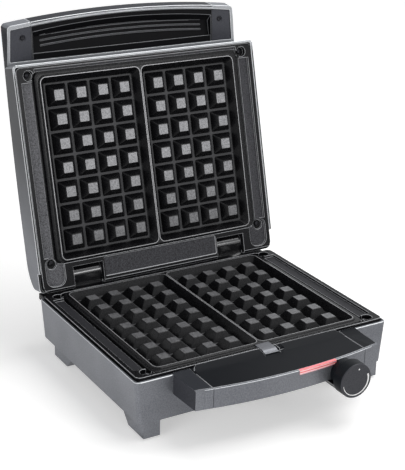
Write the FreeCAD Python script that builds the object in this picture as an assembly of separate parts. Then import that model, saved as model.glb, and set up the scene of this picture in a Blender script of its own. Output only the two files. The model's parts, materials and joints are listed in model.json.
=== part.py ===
import FreeCAD, Part
import math
import os

# Waffle maker with two rectangular cavities, lying in one frame:
# X to the right, Y to the rear, Z up.  While it is built, Y = 0 is the front face of
# the base and Z = 0 the table; at the end everything is moved along Y so that the
# origin lies under the middle of the whole appliance.
# The lid is built closed and then swung open about its hinge.

# ---------------------------------------------------------------- driving sizes, mm
rim_height = 58.6           # grey rim of the base above the table
foot_height = 16.6          # clear height under the base
side_draft = 3.6            # how far each side wall leans in, rim to bottom
shell_wall = 2.5            # grey housings
shell_corner = 4.5          # vertical corner radius of the grey housings
floor_ring = 20.0           # width of the floor ring inside the base housing

foot_width = 17.0
foot_inset = 4.4            # feet inside the base's lower edge
foot_length = 29.0          # at the table
foot_rake = 14.0            # extra length where the foot meets the base
rear_foot_setback = 16.0    # rear face of the base to rear face of the rear feet
pad_height = 3.0
pad_proud = 1.5             # pad below the foot
pad_margin = 2.5

frame_gap = 0.5             # seam between grey rim and black frame
frame_lip = 3.0             # black frame of the base above the grey rim
frame_skin = 2.0
frame_skirt = 11.0          # outer wall of the frame, down inside the housing
frame_corner = 5.0
frame_lean = 0.155          # lean of the frame's side walls
band_width = 4.6            # flat outer band of the frame, at its sides
front_band = 2.4            # and along its front
strip_drop = 2.5            # textured strips below the band
strip_width = 10.9          # textured strips beside the window
front_strip_width = 2.8
rear_band = 2.2             # band of the base's frame behind the window
plate_gap_side = 3.0        # plate flange to the frame's window
plate_gap_end = 0.5
throat_gap = 0.5            # frame to the body of the plate
mating_gap = 0.5            # between the two frames when the lid is shut

stud_columns = 4
stud_rows = 7
stud_pitch = 24.0
groove_width = 2.0          # flat groove between the feet of two studs
stud_slope = 5.5            # horizontal run of a stud's sides
stud_height = 7.7
cavity_depth = 8.6
cavity_run = 5.3            # horizontal run of the sloping cavity wall
cavity_radius = 5.5
divider_width = 2.0         # ridge between the two cavities
flange_side = 5.9           # flange outside the cavities
flange_rear = 2.6
flange_drop = 1.2           # flange below the bead round the cavities
flange_thickness = 3.0
bead_width = 2.3            # bead round the cavities
plate_floor = 3.0           # metal under the cavity floor
plate_body_margin = 4.0     # flange edge to the body of the casting
plate_body_rear_margin = 1.0
plate_corner = 6.0

well_radius = 5.2           # screw wells in the frame corners
well_depth = 5.0
well_from_window = 3.0      # centres of the wells beyond the window's sides
well_front_inset = 8.3      # and behind the frame's front edge
well_wall = 1.2
base_well_inset = 5.8       # rear wells in front of the window's rear edge, base
lid_well_inset = 1.0        # and lid
strip_margin = 1.5          # wells to the ends of the strips
screw_head = 3.0
screw_head_height = 1.8
screw_shaft = 1.5
screw_clearance = 0.15
screw_length = 12.0
post_radius = 4.4

element_radius = 3.25
element_gap = 0.3
element_margin = 27.4       # element inside the edges of the cavities
element_bend = 22.0
element_ends = 18.0         # half distance between the two terminals
terminal_pin = 8.0
reflector_sheet = 0.8
reflector_depth = 10.0      # floor of the reflector under the plate
reflector_gap = 0.4
reflector_flange = 1.8

hinge_behind = 9.0          # hinge axis behind the base
hinge_rise = 15.4           # hinge axis above the grey rim of the base
open_angle = 105.0
pin_radius = 3.0
pin_end = 1.2               # pin beyond the outer ear
pin_clearance = 0.05
knuckle_radius = 8.0
knuckle_width = 32.0
knuckle_inset = 16.0        # outer face of each knuckle inside the plate's edge
knuckle_gap = 0.5           # side clearance to the ears
knuckle_foot = 24.0         # how far the knuckle reaches down the rear wall
knuckle_rear = 5.8          # rear face behind the hinge axis
knuckle_wall = 2.6
cover_drop = 1.6            # bar between the knuckles, below the grey rim
cover_height = 6.0
stop_gap = 0.35             # open lid to the rear faces of the knuckles
notch_front = 0.7           # lid frame to the front of the knuckles
ear_width = 9.0
ear_gap = 0.5               # ears behind the window
ear_radius = 7.2

lid_overhang = 22.0         # lid behind the base
lip_run = 2.6               # bevel along the lid's rear lower edge, level run
lip_rise = 1.8              # and height
lid_front_height = 31.9
lid_peak_height = 44.2
lid_flat = 23.0             # level stretch of the lid's top
lid_rear_round = 27.5       # length of the rounding behind it
lid_rear_height = 27.2      # where the rear wall meets that rounding
lid_lean = 0.12             # lean of the lid's side walls
lid_step_behind = 2.0       # the grey rim of the lid is cut back from here on
lid_step = 6.0
lid_edge_radius = 4.0

grip_reach = 50.3           # handle in front of the lid, at the middle of its top edge
grip_bulge = 8.0            # arch of the handle's outer edge
grip_shoulder = 6.9         # handle narrower than the lid at its outer end, each side
grip_flare = 1.9            # each side is this much wider at the lid
grip_side_lean = 1.7        # lower edge inside the upper one, at the sides
grip_tip_lean = 5.8         # and at the outer edge
grip_crown = 1.5            # level top above the lid's front edge
grip_root = 6.0             # the handle runs this far back into the lid
grip_underside = 17.2       # outer end of the underside above the lid's mating plane
grip_under_slope = 0.2      # rise of the underside towards the lid
grip_corner = 4.5
grip_band = 1.2             # outer strip of the handle's rim
grip_bead = 1.6             # inner bead of the rim
grip_root_rim = 3.2         # rim beside the lid
grip_skin = 1.8
liner = 1.4                 # black lining of the finger recess
grip_end = 25.6             # end piece of the handle, outside each seam
seam_gap = 0.3
liner_margin = 0.8          # lining inside the seams
panel_margin = 0.5
panel_drop = 0.8            # end panels below the rim
panel_sheet = 2.2
finger_slope = 8.5          # run of the recess's sloping front wall
rib_count = 3
rib_first = 20.9            # first rib in front of the lid, at its middle
rib_pitch = 5.1
rib_end = 10.0              # ribs end this far inside the recess
rib_width = 1.2
rib_height = 1.5
grip_screw_inset = 17.1     # screws inside the handle's ends
grip_screw_front = 25.2     # in front of the lid
grip_screw_head = 2.3
grip_screw_ring = 3.4       # counterbore round the screw
grip_screw_depth = 1.2

bar_inset = 39.0            # ends of the bar inside the base's sides
bar_root_flare = 1.5        # each side is this much wider at the base
bar_height = 19.0
bar_reach = 36.0            # at its ends
bar_bulge = 10.0            # arch of its front face
bar_skin = 2.2
bar_end_width = 16.5
fascia = 2.5
upstand_foot = 9.0          # crease of the middle panel in front of the base
upstand_gap = 0.3
upstand_margin = 1.5        # upstand inside the seams
upstand_corner = 7.0
bar_lap = 8.0               # where the bar's top starts to rise over the grey rim
bar_lap_height = 0.8

lens_inset = 6.0            # right end of the lens beside the knob's axis
lens_length = 41.5
lens_drop = 4.2
lens_proud = 0.6

knob_inset = 47.0           # knob axis inside the end of the bar
knob_drop = 12.6            # axis below the grey rim
knob_radius = 16.8
knob_depth = 12.5
knob_face = 67.0            # knob face in front of the base
knob_wall = 2.0
knob_chamfer = 0.9
knob_gap = 0.8
collar_radius = 12.6
housing_radius = 16.4
thermostat_radius = 10.0
thermostat_back = 5.0
shaft_radius = 3.0
shaft_clearance = 0.05
bushing_radius = 4.0

clip_half_width = 7.5
clip_gap = 0.5
clip_hook = 2.6             # hook over the plate flange
clip_front = 6.5            # finger edge in front of the base
clip_edge = 0.7             # height of that edge
clip_rear = 8.0             # lower plate of the clip ends here
clip_step = 2.7             # length of the finger tab
clip_ramp = 1.0             # upper end of the ramp in front of the base

cover_sheet = 1.2
cover_overlap = 4.0
vent_count = 9
vent_width = 3.0
vent_length = 34.0
vent_pitch = 8.0
gland_x = -46.0
gland_radius = 7.0
gland_bore = 3.6
gland_flange = 1.6
gland_rise = 14.0           # cord inlet above the underside of the base
terminal_length = 34.0
terminal_depth = 16.0
terminal_height = 14.0

pocket_reach = 8.3          # corner pockets in front of the window's rear edge
pocket_corner = 8.0
band_drop = 0.8             # sunk band behind the upper plate
band_margin = 6.0           # and its distance from the lid's rear edge
band_gap = 1.5
liner_gap = 0.2
ledge_front = 9.7           # edge of the ledge in front of the lid
ledge_drop = 1.6            # ledge above the handle's underside
rounding_share = 0.6        # where the middle point of the lid's rear rounding lies

# ---------------------------------------------------------------- worked-out places
X = FreeCAD.Vector(1, 0, 0)
Y = FreeCAD.Vector(0, 1, 0)
Z = FreeCAD.Vector(0, 0, 1)
stud_base = stud_pitch - groove_width
cavity_across = 2 * cavity_run + stud_columns * stud_pitch + groove_width
cavity_along = 2 * cavity_run + stud_rows * stud_pitch + groove_width
cavity_side = divider_width / 2 + cavity_across
plate_half = cavity_side + flange_side
frame_opening_side = plate_half + plate_gap_side
frame_half = frame_opening_side + strip_width + band_width
half = frame_half + frame_gap + shell_wall
frame_front = shell_wall + frame_gap
frame_opening_front = frame_front + front_band + front_strip_width
plate_front = frame_opening_front + plate_gap_end
cavity_front = plate_front + flange_side
cavity_rear = cavity_front + cavity_along
plate_rear = cavity_rear + flange_rear
frame_opening_rear = plate_rear + plate_gap_end
base_frame_rear = frame_opening_rear + rear_band
body_depth = base_frame_rear + shell_wall
hinge_y = body_depth + hinge_behind
lid_depth = body_depth + lid_overhang
lid_frame_rear = lid_depth - shell_wall - frame_gap
well_side = frame_opening_side + well_from_window
well_front = frame_front + well_front_inset
base_well_rear = frame_opening_rear - base_well_inset
lid_well_rear = frame_opening_rear - lid_well_inset
plate_thickness = cavity_depth + plate_floor
plate_body_half = plate_half - plate_body_margin
plate_body_front = plate_front + plate_body_margin
plate_body_rear = plate_rear - plate_body_rear_margin
screw_hole = screw_shaft + screw_clearance
ledge_top = flange_drop + flange_thickness
knuckle_outer = plate_half - knuckle_inset
knuckle_inner = knuckle_outer - knuckle_width
body_floor = foot_height
floor_top = body_floor + shell_wall
mating_base = rim_height + frame_lip        # face of the base's frame and plate
mating_lid = mating_base + mating_gap       # face of the lid's frame and plate, shut
hinge_z = rim_height + hinge_rise
bar_half_width = half - bar_inset
bar_seam = bar_half_width - bar_end_width
upstand_side = bar_seam - upstand_margin
bar_bottom = rim_height - bar_height
knob_x = bar_half_width - knob_inset
knob_z = rim_height - knob_drop
lens_right = knob_x - lens_inset
lens_left = lens_right - lens_length
grip_half_width = half - grip_shoulder
grip_root_width = grip_half_width + grip_flare
grip_top = lid_front_height + grip_crown
gland_height = foot_height + gland_rise
grip_seam = grip_half_width - grip_end
liner_half = grip_seam - liner_margin
panel_inner = grip_seam - panel_margin
grip_screw_side = grip_half_width - grip_screw_inset
parts = {}


# ---------------------------------------------------------------- shape helpers
def vec(x, y, z):
    return FreeCAD.Vector(x, y, z)


def box(x0, x1, y0, y1, z0, z1):
    return Part.makeBox(x1 - x0, y1 - y0, z1 - z0, vec(x0, y0, z0))


def rounded_outline(x0, x1, y0, y1, z, radius):
    """Closed wire of a level rectangle with round corners."""
    centres = [(x1 - radius, y1 - radius, 0), (x0 + radius, y1 - radius, 90),
               (x0 + radius, y0 + radius, 180), (x1 - radius, y0 + radius, 270)]
    arcs = []
    for cx, cy, start in centres:
        arcs.append(Part.makeCircle(radius, vec(cx, cy, z), Z, start, start + 90))
    edges = []
    for arc, following in zip(arcs, arcs[1:] + arcs[:1]):
        edges.append(arc)
        edges.append(Part.makeLine(arc.Vertexes[-1].Point, following.Vertexes[0].Point))
    return Part.Wire(edges)


def rounded_block(x0, x1, y0, y1, z0, z1, radius):
    face = Part.Face(rounded_outline(x0, x1, y0, y1, z0, radius))
    return face.extrude(vec(0, 0, z1 - z0))


def rectangle(x0, x1, y0, y1, z):
    corners = [vec(x0, y0, z), vec(x1, y0, z), vec(x1, y1, z), vec(x0, y1, z)]
    return Part.makePolygon(corners + corners[:1])


def leaning_block(x0, x1, y0, y1, z_low, z_high, lean, radius):
    """Block whose left and right walls move outwards by lean, upright edges round."""
    block = Part.makeLoft([rectangle(x0, x1, y0, y1, z_low),
                           rectangle(x0 - lean, x1 + lean, y0, y1, z_high)], True, True)
    upright = [edge for edge in block.Edges if edge.BoundBox.ZLength > 0.01]
    return block.makeFillet(radius, upright)


def side_profile(points, x0, x1):
    """Prism along X from points (y, z)."""
    corners = [vec(x0, y, z) for y, z in points]
    return Part.Face(Part.makePolygon(corners + corners[:1])).extrude(vec(x1 - x0, 0, 0))


def rod(axis, start, end, radius):
    """Cylinder from start to end, which differ along one axis only."""
    return Part.makeCylinder(radius, (end - start).dot(axis), start, axis)


def mirrored(shape):
    return shape.mirror(vec(0, 0, 0), X)


def both_sides(shape):
    return [shape, mirrored(shape)]


def fuse(shapes):
    result = shapes[0]
    if len(shapes) > 1:
        result = result.multiFuse(shapes[1:])
    return result.removeSplitter()


def cut(shape, tools):
    return shape.cut(tools) if tools else shape


def keep(name, shape):
    parts[name] = shape


def keep_pair(name, left_shape):
    keep(name + "_left", left_shape)
    keep(name + "_right", mirrored(left_shape))


def arched_plan(half_front, half_root, reach, bulge, root_y, inset=0.0):
    """Plan of a bar with an arched outer edge; inset shrinks it evenly."""
    ends = reach - inset
    side = half_front - inset
    root = half_root - inset
    left = vec(-side, -ends, 0)
    right = vec(side, -ends, 0)
    middle = vec(0, -ends - bulge, 0)
    edges = [Part.Arc(left, middle, right).toShape(),
             Part.makeLine(right, vec(root, root_y, 0)),
             Part.makeLine(vec(root, root_y, 0), vec(-root, root_y, 0)),
             Part.makeLine(vec(-root, root_y, 0), left)]
    return Part.Face(Part.Wire(edges))


# ---------------------------------------------------------------- cast waffle plate
# Plates and frames are drawn in mating coordinates: z = 0 is the face where base and
# lid meet, and z grows into the housing.
def cavity_block(x0, x1):
    """Cavity with sloping walls: two crossed wedges and a cone in each corner."""
    y0 = cavity_front
    y1 = cavity_rear
    r = cavity_radius
    run = cavity_run
    wedges = [([x0, x1, y0 + r, y1 - r], [x0 + run, x1 - run, y0 + r, y1 - r]),
              ([x0 + r, x1 - r, y0, y1], [x0 + r, x1 - r, y0 + run, y1 - run])]
    solids = [Part.makeLoft([rectangle(*top, 0), rectangle(*low, cavity_depth)], True, True)
              for top, low in wedges]
    for x in (x0 + r, x1 - r):
        for y in (y0 + r, y1 - r):
            solids.append(Part.makeCone(r, r - run, cavity_depth, vec(x, y, 0)))
    return fuse(solids)


def stud(cx, cy):
    foot = stud_base / 2
    tip = foot - stud_slope
    base_z = cavity_depth
    top_z = cavity_depth - stud_height
    rings = []
    for reach, z in ((foot, base_z), (tip, top_z)):
        corners = [vec(cx - reach, cy - reach, z), vec(cx + reach, cy - reach, z),
                   vec(cx + reach, cy + reach, z), vec(cx - reach, cy + reach, z)]
        rings.append(Part.makePolygon(corners + corners[:1]))
    return Part.makeLoft(rings, True, True)


def stud_field(side):
    """Studs of one cavity; side is -1 for the left cavity, 1 for the right."""
    to_first = cavity_run + groove_width / 2 + stud_pitch / 2
    first_x = divider_width / 2 + to_first
    first_y = cavity_front + to_first
    field = []
    for column in range(stud_columns):
        for row in range(stud_rows):
            field.append(stud(side * (first_x + column * stud_pitch),
                              first_y + row * stud_pitch))
    return field


def waffle_plate():
    flange = rounded_block(-plate_half, plate_half, plate_front, plate_rear, flange_drop,
                           flange_drop + flange_thickness, plate_corner)
    body = rounded_block(-plate_body_half, plate_body_half, plate_body_front,
                         plate_body_rear, flange_drop + flange_thickness / 2,
                         plate_thickness, plate_corner)
    bead = rounded_block(-cavity_side - bead_width, cavity_side + bead_width,
                         cavity_front - bead_width, cavity_rear + bead_width, 0,
                         flange_drop + flange_thickness / 2, cavity_radius + bead_width)
    blank = fuse([flange, body, bead])
    inner = divider_width / 2
    pockets = [cavity_block(inner, cavity_side), cavity_block(-cavity_side, -inner)]
    casting = cut(blank, pockets)
    return casting.multiFuse(stud_field(-1) + stud_field(1)).removeSplitter()


# ---------------------------------------------------------------- black frames
def wells(rear):
    """Places of the four screw wells; rear is the y of the rear pair."""
    return [(x, y) for x in (-well_side, well_side) for y in (well_front, rear)]


def frame_ring(rear, well_y):
    """Frame round a waffle plate, open in the middle, with a ledge for the plate."""
    lean = frame_skirt * frame_lean
    outer = leaning_block(-frame_half, frame_half, frame_front, rear, 0, frame_skirt, -lean,
                          frame_corner)
    inside = frame_half - lean - frame_skin
    hollow = rounded_block(-inside, inside, frame_front + frame_skin, rear - frame_skin,
                           strip_drop + frame_skin, frame_skirt + 1,
                           frame_corner - frame_skin)
    shell = outer.cut(hollow)
    ledge = rounded_block(-frame_opening_side - frame_skin, frame_opening_side + frame_skin,
                          frame_opening_front - frame_skin, frame_opening_rear + frame_skin,
                          strip_drop + frame_skin / 2, ledge_top + frame_skin, plate_corner)
    solids = [shell, ledge]
    tools = [rounded_block(-frame_opening_side, frame_opening_side, frame_opening_front,
                           frame_opening_rear, -1, ledge_top, plate_corner + 1),
             rounded_block(-plate_body_half - throat_gap, plate_body_half + throat_gap,
                           plate_body_front - throat_gap, plate_body_rear + throat_gap,
                           0, frame_skirt + 1, plate_corner)]
    for x, y in wells(well_y):
        tower_radius = well_radius + well_wall
        solids.append(rod(Z, vec(x, y, strip_drop), vec(x, y, well_depth + frame_skin),
                          tower_radius))
        tools.append(rod(Z, vec(x, y, -1), vec(x, y, well_depth), well_radius))
        tools.append(rod(Z, vec(x, y, 0), vec(x, y, frame_skirt), screw_hole))
    strip_out = frame_half - band_width
    near = well_front + well_radius + strip_margin
    far = well_y - well_radius - strip_margin
    strip = box(frame_opening_side - 1, strip_out, near, far, -1, strip_drop)
    side = well_side - well_radius - strip_margin
    front_strip = box(-side, side, frame_front + front_band, frame_opening_front + 1, -1,
                      strip_drop)
    return cut(fuse(solids), tools + both_sides(strip) + [front_strip])


def screw(x, y):
    """Round-head screw in a well; its head rests on the floor of the well."""
    seat = well_depth
    head = rod(Z, vec(x, y, seat - screw_head_height), vec(x, y, seat), screw_head)
    slot = box(x - 0.4, x + 0.4, y - screw_head * 0.6, y + screw_head * 0.6,
               seat - screw_head_height - 1, seat - screw_head_height + 0.8)
    cross = box(x - screw_head * 0.6, x + screw_head * 0.6, y - 0.4, y + 0.4,
                seat - screw_head_height - 1, seat - screw_head_height + 0.8)
    shaft = rod(Z, vec(x, y, seat), vec(x, y, seat + screw_length), screw_shaft)
    return cut(fuse([head, shaft]), [slot, cross])


# ---------------------------------------------------------------- heating
def element():
    """Tubular heating element under the plate: one loop with two ends at the rear."""
    z = plate_thickness + element_gap + element_radius
    x = cavity_side - element_margin
    y0 = cavity_front + element_margin
    y1 = cavity_rear - element_margin
    b = element_bend
    e = element_ends
    pin = element_radius * 0.45
    runs = [rod(X, vec(-x + b, y0, z), vec(x - b, y0, z), element_radius),
            rod(Y, vec(-x, y0 + b, z), vec(-x, y1 - b, z), element_radius),
            rod(Y, vec(x, y0 + b, z), vec(x, y1 - b, z), element_radius),
            rod(X, vec(-x + b, y1, z), vec(-e, y1, z), element_radius),
            rod(X, vec(e, y1, z), vec(x - b, y1, z), element_radius),
            rod(X, vec(-e, y1, z), vec(-e + terminal_pin, y1, z), pin),
            rod(X, vec(e - terminal_pin, y1, z), vec(e, y1, z), pin)]
    for cx, cy, start in ((x - b, y1 - b, 0), (-x + b, y1 - b, 90), (-x + b, y0 + b, 180),
                          (x - b, y0 + b, 270)):
        bend = Part.makeTorus(b, element_radius, vec(0, 0, 0), Z, 0, 360, 90)
        bend.rotate(vec(0, 0, 0), Z, start)
        bend.translate(vec(cx, cy, z))
        runs.append(bend)
    return fuse(runs)


def reflector():
    """Sheet-metal dish that closes the heated space behind a plate."""
    wall_half = plate_body_half + reflector_gap
    y0 = plate_body_front - reflector_gap
    y1 = plate_body_rear + reflector_gap
    floor = plate_thickness + reflector_depth
    top = ledge_top + frame_skin
    sheet = reflector_sheet
    flange_half = wall_half + sheet + reflector_flange
    flange = rounded_block(-flange_half, flange_half, y0 - sheet - reflector_flange,
                           y1 + sheet + 0.2, top, top + sheet, plate_corner)
    dish = rounded_block(-wall_half - sheet, wall_half + sheet, y0 - sheet, y1 + sheet, top,
                         floor, plate_corner)
    inside = rounded_block(-wall_half, wall_half, y0, y1, top - 1, floor - sheet,
                           plate_corner - sheet)
    return cut(fuse([flange, dish]), [inside])


def to_base(shape):
    """Mating coordinates to the base: depth runs down from the mating face."""
    flipped = shape.mirror(vec(0, 0, 0), Z)
    flipped.translate(vec(0, 0, mating_base))
    return flipped


def to_lid(shape):
    """Mating coordinates to the closed lid: depth runs up."""
    moved = shape.copy()
    moved.translate(vec(0, 0, mating_lid))
    return moved


# ================================================================ base
def half_at(z):
    """Half width of the base housing at height z."""
    return half - side_draft * (rim_height - z) / (rim_height - body_floor)


def tub(z_low, z_high, inset):
    """Leaning block inside the base housing's outline."""
    low = half_at(z_low) - inset
    lean = half_at(z_high) - half_at(z_low)
    return leaning_block(-low, low, inset, body_depth - inset, z_low, z_high, lean,
                         shell_corner - inset)


foot_outer = half_at(body_floor) - foot_inset
foot_inner = foot_outer - foot_width
rear_foot_back = body_depth - rear_foot_setback
foot_ends = {"front": (0.0, foot_length), "rear": (rear_foot_back - foot_length,
                                                   rear_foot_back)}


def foot(end):
    """Wedge foot on the left side; its raked face looks to the middle of the base."""
    y0, y1 = foot_ends[end]
    rake_front = foot_rake if end == "rear" else 0.0
    rake_rear = foot_rake if end == "front" else 0.0
    outline = [(y0, pad_proud), (y1, pad_proud), (y1 + rake_rear, body_floor),
               (y1 + rake_rear, floor_top), (y0 - rake_front, floor_top),
               (y0 - rake_front, body_floor)]
    solid = side_profile(outline, -foot_outer, -foot_inner)
    recess = rounded_block(-foot_outer + pad_margin, -foot_inner - pad_margin,
                           y0 + pad_margin, y1 - pad_margin, 0, pad_height, 2.0)
    pocket = box(-foot_outer + shell_wall, -foot_inner - shell_wall, y0 + shell_wall,
                 y1 - shell_wall, pad_height + shell_wall, floor_top + 1)
    return solid, recess, pocket


def foot_pad(end):
    y0, y1 = foot_ends[end]
    inset = pad_margin + 0.1
    return rounded_block(-foot_outer + inset, -foot_inner - inset, y0 + inset, y1 - inset,
                         0, pad_height, 2.0)


def base_shell():
    outer = tub(body_floor, rim_height, 0.0)
    inner = tub(floor_top, rim_height + 1, shell_wall)
    opening = rounded_block(floor_ring - half_at(body_floor), half_at(body_floor) - floor_ring,
                            floor_ring, body_depth - floor_ring, 0, floor_top + 1, 8.0)
    solids = [outer.cut([inner, opening])]
    tools = []
    for end in foot_ends:
        solid, recess, pocket = foot(end)
        solids += both_sides(solid)
        tools += both_sides(recess) + both_sides(pocket)
    housing = cut(fuse(solids), tools)
    post_top = mating_base - well_depth - frame_skin
    posts = []
    bores = []
    for x, y in wells(base_well_rear):
        foot_pocket = pad_height + shell_wall
        post_low = foot_pocket if y < foot_length else body_floor
        posts.append(rod(Z, vec(x, y, post_low), vec(x, y, post_top), post_radius))
        bores.append(rod(Z, vec(x, y, post_top - screw_length - 1), vec(x, y, post_top + 1),
                         screw_hole))
    housing = fuse([housing] + posts)
    wire_hole = rod(Y, vec(knob_x, -1, knob_z), vec(knob_x, shell_wall + 1, knob_z), 6.0)
    gland_hole = rod(Y, vec(gland_x, body_depth - shell_wall - 1, gland_height),
                     vec(gland_x, body_depth + 1, gland_height), gland_radius)
    return cut(housing, bores + [wire_hole, gland_hole])


def bottom_cover():
    reach_x = half_at(body_floor) - floor_ring + cover_overlap
    sheet = rounded_block(-reach_x, reach_x, floor_ring - cover_overlap,
                          body_depth - floor_ring + cover_overlap, floor_top,
                          floor_top + cover_sheet, 8.0)
    middle = body_depth / 2
    slots = []
    for index in range(vent_count):
        x = (index - (vent_count - 1) / 2) * vent_pitch
        slots.append(rounded_block(x - vent_width / 2, x + vent_width / 2,
                                   middle - vent_length / 2, middle + vent_length / 2,
                                   floor_top - 1, floor_top + cover_sheet + 1,
                                   vent_width * 0.45))
    return cut(sheet, slots)


keep("base_shell", base_shell())
keep("bottom_cover", bottom_cover())
for end in foot_ends:
    keep_pair("foot_pad_" + end, foot_pad(end))

base_frame = to_base(frame_ring(base_frame_rear, base_well_rear))
clip_slot = clip_half_width + clip_gap
base_frame = cut(base_frame, [box(-clip_slot, clip_slot, 0, frame_opening_front + 1,
                                  mating_base - strip_drop, mating_base + 1)])
keep("base_frame", base_frame)
keep("lower_plate", to_base(waffle_plate()))
keep("lower_element", to_base(element()))
keep("lower_reflector", to_base(reflector()))
keep("base_frame_screw_front_left", to_base(screw(-well_side, well_front)))
keep("base_frame_screw_front_right", to_base(screw(well_side, well_front)))
keep("base_frame_screw_rear_left", to_base(screw(-well_side, base_well_rear)))
keep("base_frame_screw_rear_right", to_base(screw(well_side, base_well_rear)))


# ---------------------------------------------------------------- cord inlet
def cord_gland():
    inside = body_depth - shell_wall
    sleeve = rod(Y, vec(gland_x, inside - 2, gland_height),
                 vec(gland_x, body_depth, gland_height), gland_radius - 0.1)
    flange = rod(Y, vec(gland_x, body_depth, gland_height),
                 vec(gland_x, body_depth + gland_flange, gland_height), gland_radius + 2)
    bore = rod(Y, vec(gland_x, inside - 3, gland_height),
               vec(gland_x, body_depth + gland_flange + 1, gland_height), gland_bore)
    return cut(fuse([sleeve, flange]), [bore])


def terminal_block():
    y1 = body_depth - shell_wall - 4
    z0 = floor_top + cover_sheet
    block = box(gland_x - terminal_length / 2, gland_x + terminal_length / 2,
                y1 - terminal_depth, y1, z0, z0 + terminal_height)
    bores = []
    for index in (-1, 0, 1):
        x = gland_x + index * terminal_length / 3.2
        z = z0 + terminal_height * 0.5
        bores.append(rod(Y, vec(x, y1 - terminal_depth - 1, z), vec(x, y1 + 1, z), 2.2))
    return cut(block, bores)


keep("cord_gland", cord_gland())
keep("terminal_block", terminal_block())


# ---------------------------------------------------------------- hinge, fixed half
def knuckle():
    """Left knuckle: a post on the rear wall with a round head about the hinge axis."""
    x0 = -knuckle_outer
    x1 = -knuckle_inner
    rear = hinge_y + knuckle_rear
    front = hinge_y - knuckle_radius
    foot_block = box(x0, x1, body_depth, rear, rim_height - knuckle_foot, rim_height)
    neck = box(x0, x1, front, rear, rim_height - 1, hinge_z)
    head = rod(X, vec(x0, hinge_y, hinge_z), vec(x1, hinge_y, hinge_z), knuckle_radius)
    pocket = box(x0 + knuckle_wall, x1 - knuckle_wall, front + knuckle_wall,
                 rear - knuckle_wall, rim_height - knuckle_foot - 1,
                 hinge_z - knuckle_radius)
    bore = rod(X, vec(x0 - 1, hinge_y, hinge_z), vec(x1 + 1, hinge_y, hinge_z), pin_radius)
    return cut(fuse([foot_block, neck, head]), [pocket, bore])


def hinge_pin():
    x0 = -knuckle_outer - knuckle_gap - ear_width - pin_end
    x1 = -knuckle_inner + knuckle_gap + ear_width
    return rod(X, vec(x0, hinge_y, hinge_z), vec(x1, hinge_y, hinge_z), pin_radius)


def hinge_cover():
    """Bar behind the base that closes the slit under the lid's rear edge."""
    side = knuckle_inner - seam_gap
    top = rim_height - cover_drop
    return box(-side, side, body_depth, hinge_y + knuckle_rear, top - cover_height, top)


keep_pair("hinge_knuckle", knuckle())
keep("hinge_cover", hinge_cover())
keep_pair("hinge_pin", hinge_pin())


# ---------------------------------------------------------------- front bar
def bar_plan(front_inset, z0, z1):
    face = arched_plan(bar_half_width, bar_half_width + bar_root_flare,
                       bar_reach - front_inset, bar_bulge, 0.0)
    face.translate(vec(0, 0, z0))
    return face.extrude(vec(0, 0, z1 - z0))


def slab(x0, x1):
    return box(x0, x1, -200, 50, 0, 120)


def bar_lap_ramp(x0, x1):
    """Gentle rise of the bar's top that covers the grey rim behind it."""
    rear = frame_front - upstand_gap
    return side_profile([(-bar_lap, rim_height), (rear, rim_height + bar_lap_height),
                         (rear, rim_height)], x0, x1)


bar_whole = bar_plan(0.0, bar_bottom, rim_height)
bar_core = bar_plan(fascia, bar_bottom, rim_height)
fascia_zone = bar_whole.cut(bar_core)
middle_slab = slab(-bar_seam + seam_gap / 2, bar_seam - seam_gap / 2)
left_slab = slab(-200, -bar_seam - seam_gap / 2)

lens_bottom = rim_height - lens_drop
lens_slot = box(lens_left, lens_right, -200, 0, lens_bottom, rim_height + 1)
shaft_hole = rod(Y, vec(knob_x, -knob_face, knob_z), vec(knob_x, 0, knob_z),
                 bushing_radius + 0.2)
keep("bar_fascia_center", cut(fascia_zone.common(middle_slab), [lens_slot, shaft_hole]))
keep_pair("bar_fascia", fascia_zone.common(left_slab))

lens_front = bar_plan(-lens_proud, lens_bottom, rim_height + lens_proud / 2)
lens_back = bar_plan(fascia, lens_bottom - 1, rim_height + 2)
lens_block = box(lens_left + 0.1, lens_right - 0.1, -200, 0, lens_bottom + 0.1,
                 rim_height + lens_proud)
keep("indicator_lens", lens_front.cut(lens_back).common(lens_block))


def bar_end():
    """Left end of the bar: a black hollow block behind its fascia."""
    solid = bar_core.common(left_slab)
    hollow = box(-bar_half_width + bar_skin, 0, -bar_reach + fascia + bar_skin,
                 -bar_skin, bar_bottom + bar_skin, rim_height - bar_skin)
    side = bar_half_width + bar_root_flare
    ramp = bar_lap_ramp(-side, -bar_seam - seam_gap / 2)
    return fuse([solid.cut(hollow), ramp])


def bar_top_panel():
    """Black middle panel with an upstand that covers the grey rim behind it."""
    top = rim_height
    sheet = bar_core.common(middle_slab)
    sheet = sheet.common(box(-200, 200, -200, 0, top - bar_skin, top))
    profile = [(-upstand_foot, top - bar_skin), (0, top - bar_skin), (0, top),
               (frame_front - upstand_gap, top),
               (frame_front - upstand_gap, mating_base), (-upstand_foot, top)]
    rise = side_profile(profile, -upstand_side, upstand_side)
    rise = rise.common(rounded_block(-upstand_side, upstand_side, -3 * upstand_foot,
                                     frame_front - upstand_gap, 0, 100, upstand_corner))
    slot = box(-clip_slot, clip_slot, -upstand_foot - 1, frame_front, top, mating_base + 1)
    post = box(clip_slot + 1, clip_slot + 6, -5.0, frame_front - upstand_gap, top,
               mating_base)
    grooves = []
    for index in range(3):
        x = clip_slot + 1.9 + index * 1.4
        grooves.append(box(x, x + 0.6, -6, frame_front, mating_base - 0.7, mating_base + 1))
    side_slot = box(clip_slot - 1, clip_slot + 1, -upstand_foot - 1, frame_front, top,
                    mating_base + 1)
    ramp = bar_lap_ramp(-bar_seam + seam_gap / 2, bar_seam - seam_gap / 2)
    return cut(fuse([sheet, rise, ramp, post]), [slot, side_slot] + grooves)


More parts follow.
